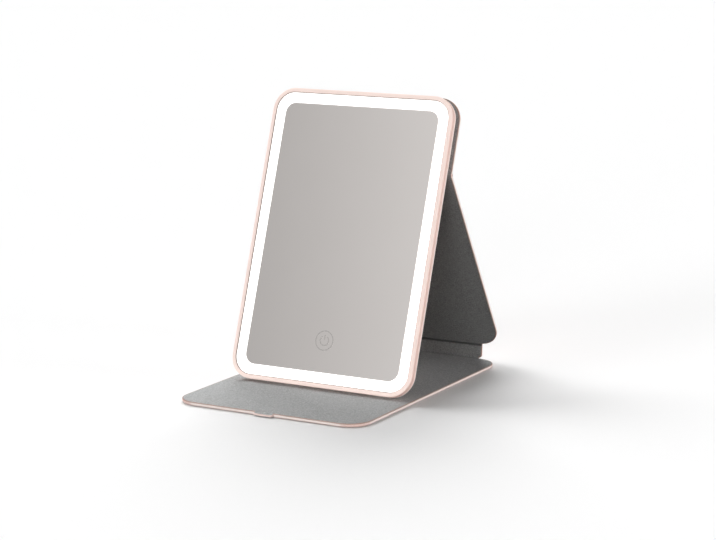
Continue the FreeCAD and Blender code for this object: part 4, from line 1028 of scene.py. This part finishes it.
def reflected_studio(tree, direction, upward):
    """How bright the studio is in reflections, by direction."""
    towards = tree.nodes.new("ShaderNodeVectorMath")
    towards.operation = "DOT_PRODUCT"
    tree.links.new(direction, towards.inputs[0])
    side = Vector(REFLECTED_TOWARDS).normalized()
    towards.inputs[1].default_value = side
    middle = side.dot(Vector(REFLECTED_MIDDLE))
    studio = spread(tree, towards.outputs["Value"], REFLECTED_DARK, REFLECTED_BRIGHT,
                    start=middle - REFLECTED_SPAN / 2, end=middle + REFLECTED_SPAN / 2)
    low = spread(tree, upward, low=1.0, high=0.0, end=REFLECTED_HORIZON)
    short_of_white = arithmetic(tree, "SUBTRACT", 1.0, studio)
    return arithmetic(tree, "ADD", studio, arithmetic(tree, "MULTIPLY", low, short_of_white))


def make_world():
    """White to the camera, and a dome that is brightest overhead for the light.

    In reflections it is a grey studio, which fades to the floor's white at the horizon.
    """
    world = bpy.data.worlds.new("studio")
    world.use_nodes = True
    bpy.context.scene.world = world
    tree = world.node_tree
    tree.nodes.clear()
    output = tree.nodes.new("ShaderNodeOutputWorld")
    background = tree.nodes.new("ShaderNodeBackground")
    background.inputs["Color"].default_value = WHITE
    tree.links.new(background.outputs["Background"], output.inputs["Surface"])
    direction = tree.nodes.new("ShaderNodeTexCoord").outputs["Generated"]
    upward = split(tree, direction)[2]
    from_camera, sent_on = ray_kinds(tree)
    reflected = arithmetic(tree, "MULTIPLY", sent_on, reflected_studio(tree, direction, upward))
    dome = spread(tree, upward, SKY_AT_HORIZON, SKY_OVERHEAD)
    lighting = arithmetic(tree, "MULTIPLY", arithmetic(tree, "SUBTRACT", 1.0, sent_on), dome)
    strength = arithmetic(tree, "MAXIMUM", arithmetic(tree, "ADD", reflected, lighting), from_camera)
    tree.links.new(strength, background.inputs["Strength"])


def make_lamp(name, azimuth, elevation, strength, width):
    """A distant soft lamp."""
    data = bpy.data.lights.new(name, "SUN")
    data.energy = strength
    data.angle = math.radians(width)
    lamp = add_object(name, data)
    lamp.rotation_euler = (math.radians(90 - elevation), 0, math.radians(azimuth))
    lamp.visible_glossy = False


def make_camera():
    """The photograph's camera."""
    data = bpy.data.cameras.new("camera")
    data.sensor_fit = "HORIZONTAL"
    data.sensor_width = SENSOR_WIDTH
    data.lens = CAMERA_LENS
    camera = add_object("camera", data)
    camera.location = CAMERA_PLACE
    camera.rotation_euler = (math.radians(90 - CAMERA_ELEVATION), 0, math.radians(CAMERA_AZIMUTH))
    bpy.context.scene.camera = camera


bpy.context.scene.view_settings.view_transform = "Standard"
make_camera()
make_floor()
make_world()
for lamp_name, lamp in LAMPS.items():
    make_lamp(lamp_name, *lamp)
finish_nodes()
make_creases()
make_spine_cloth()
make_tab_tongue()
make_shade_bead()

bpy.context.view_layer.update()
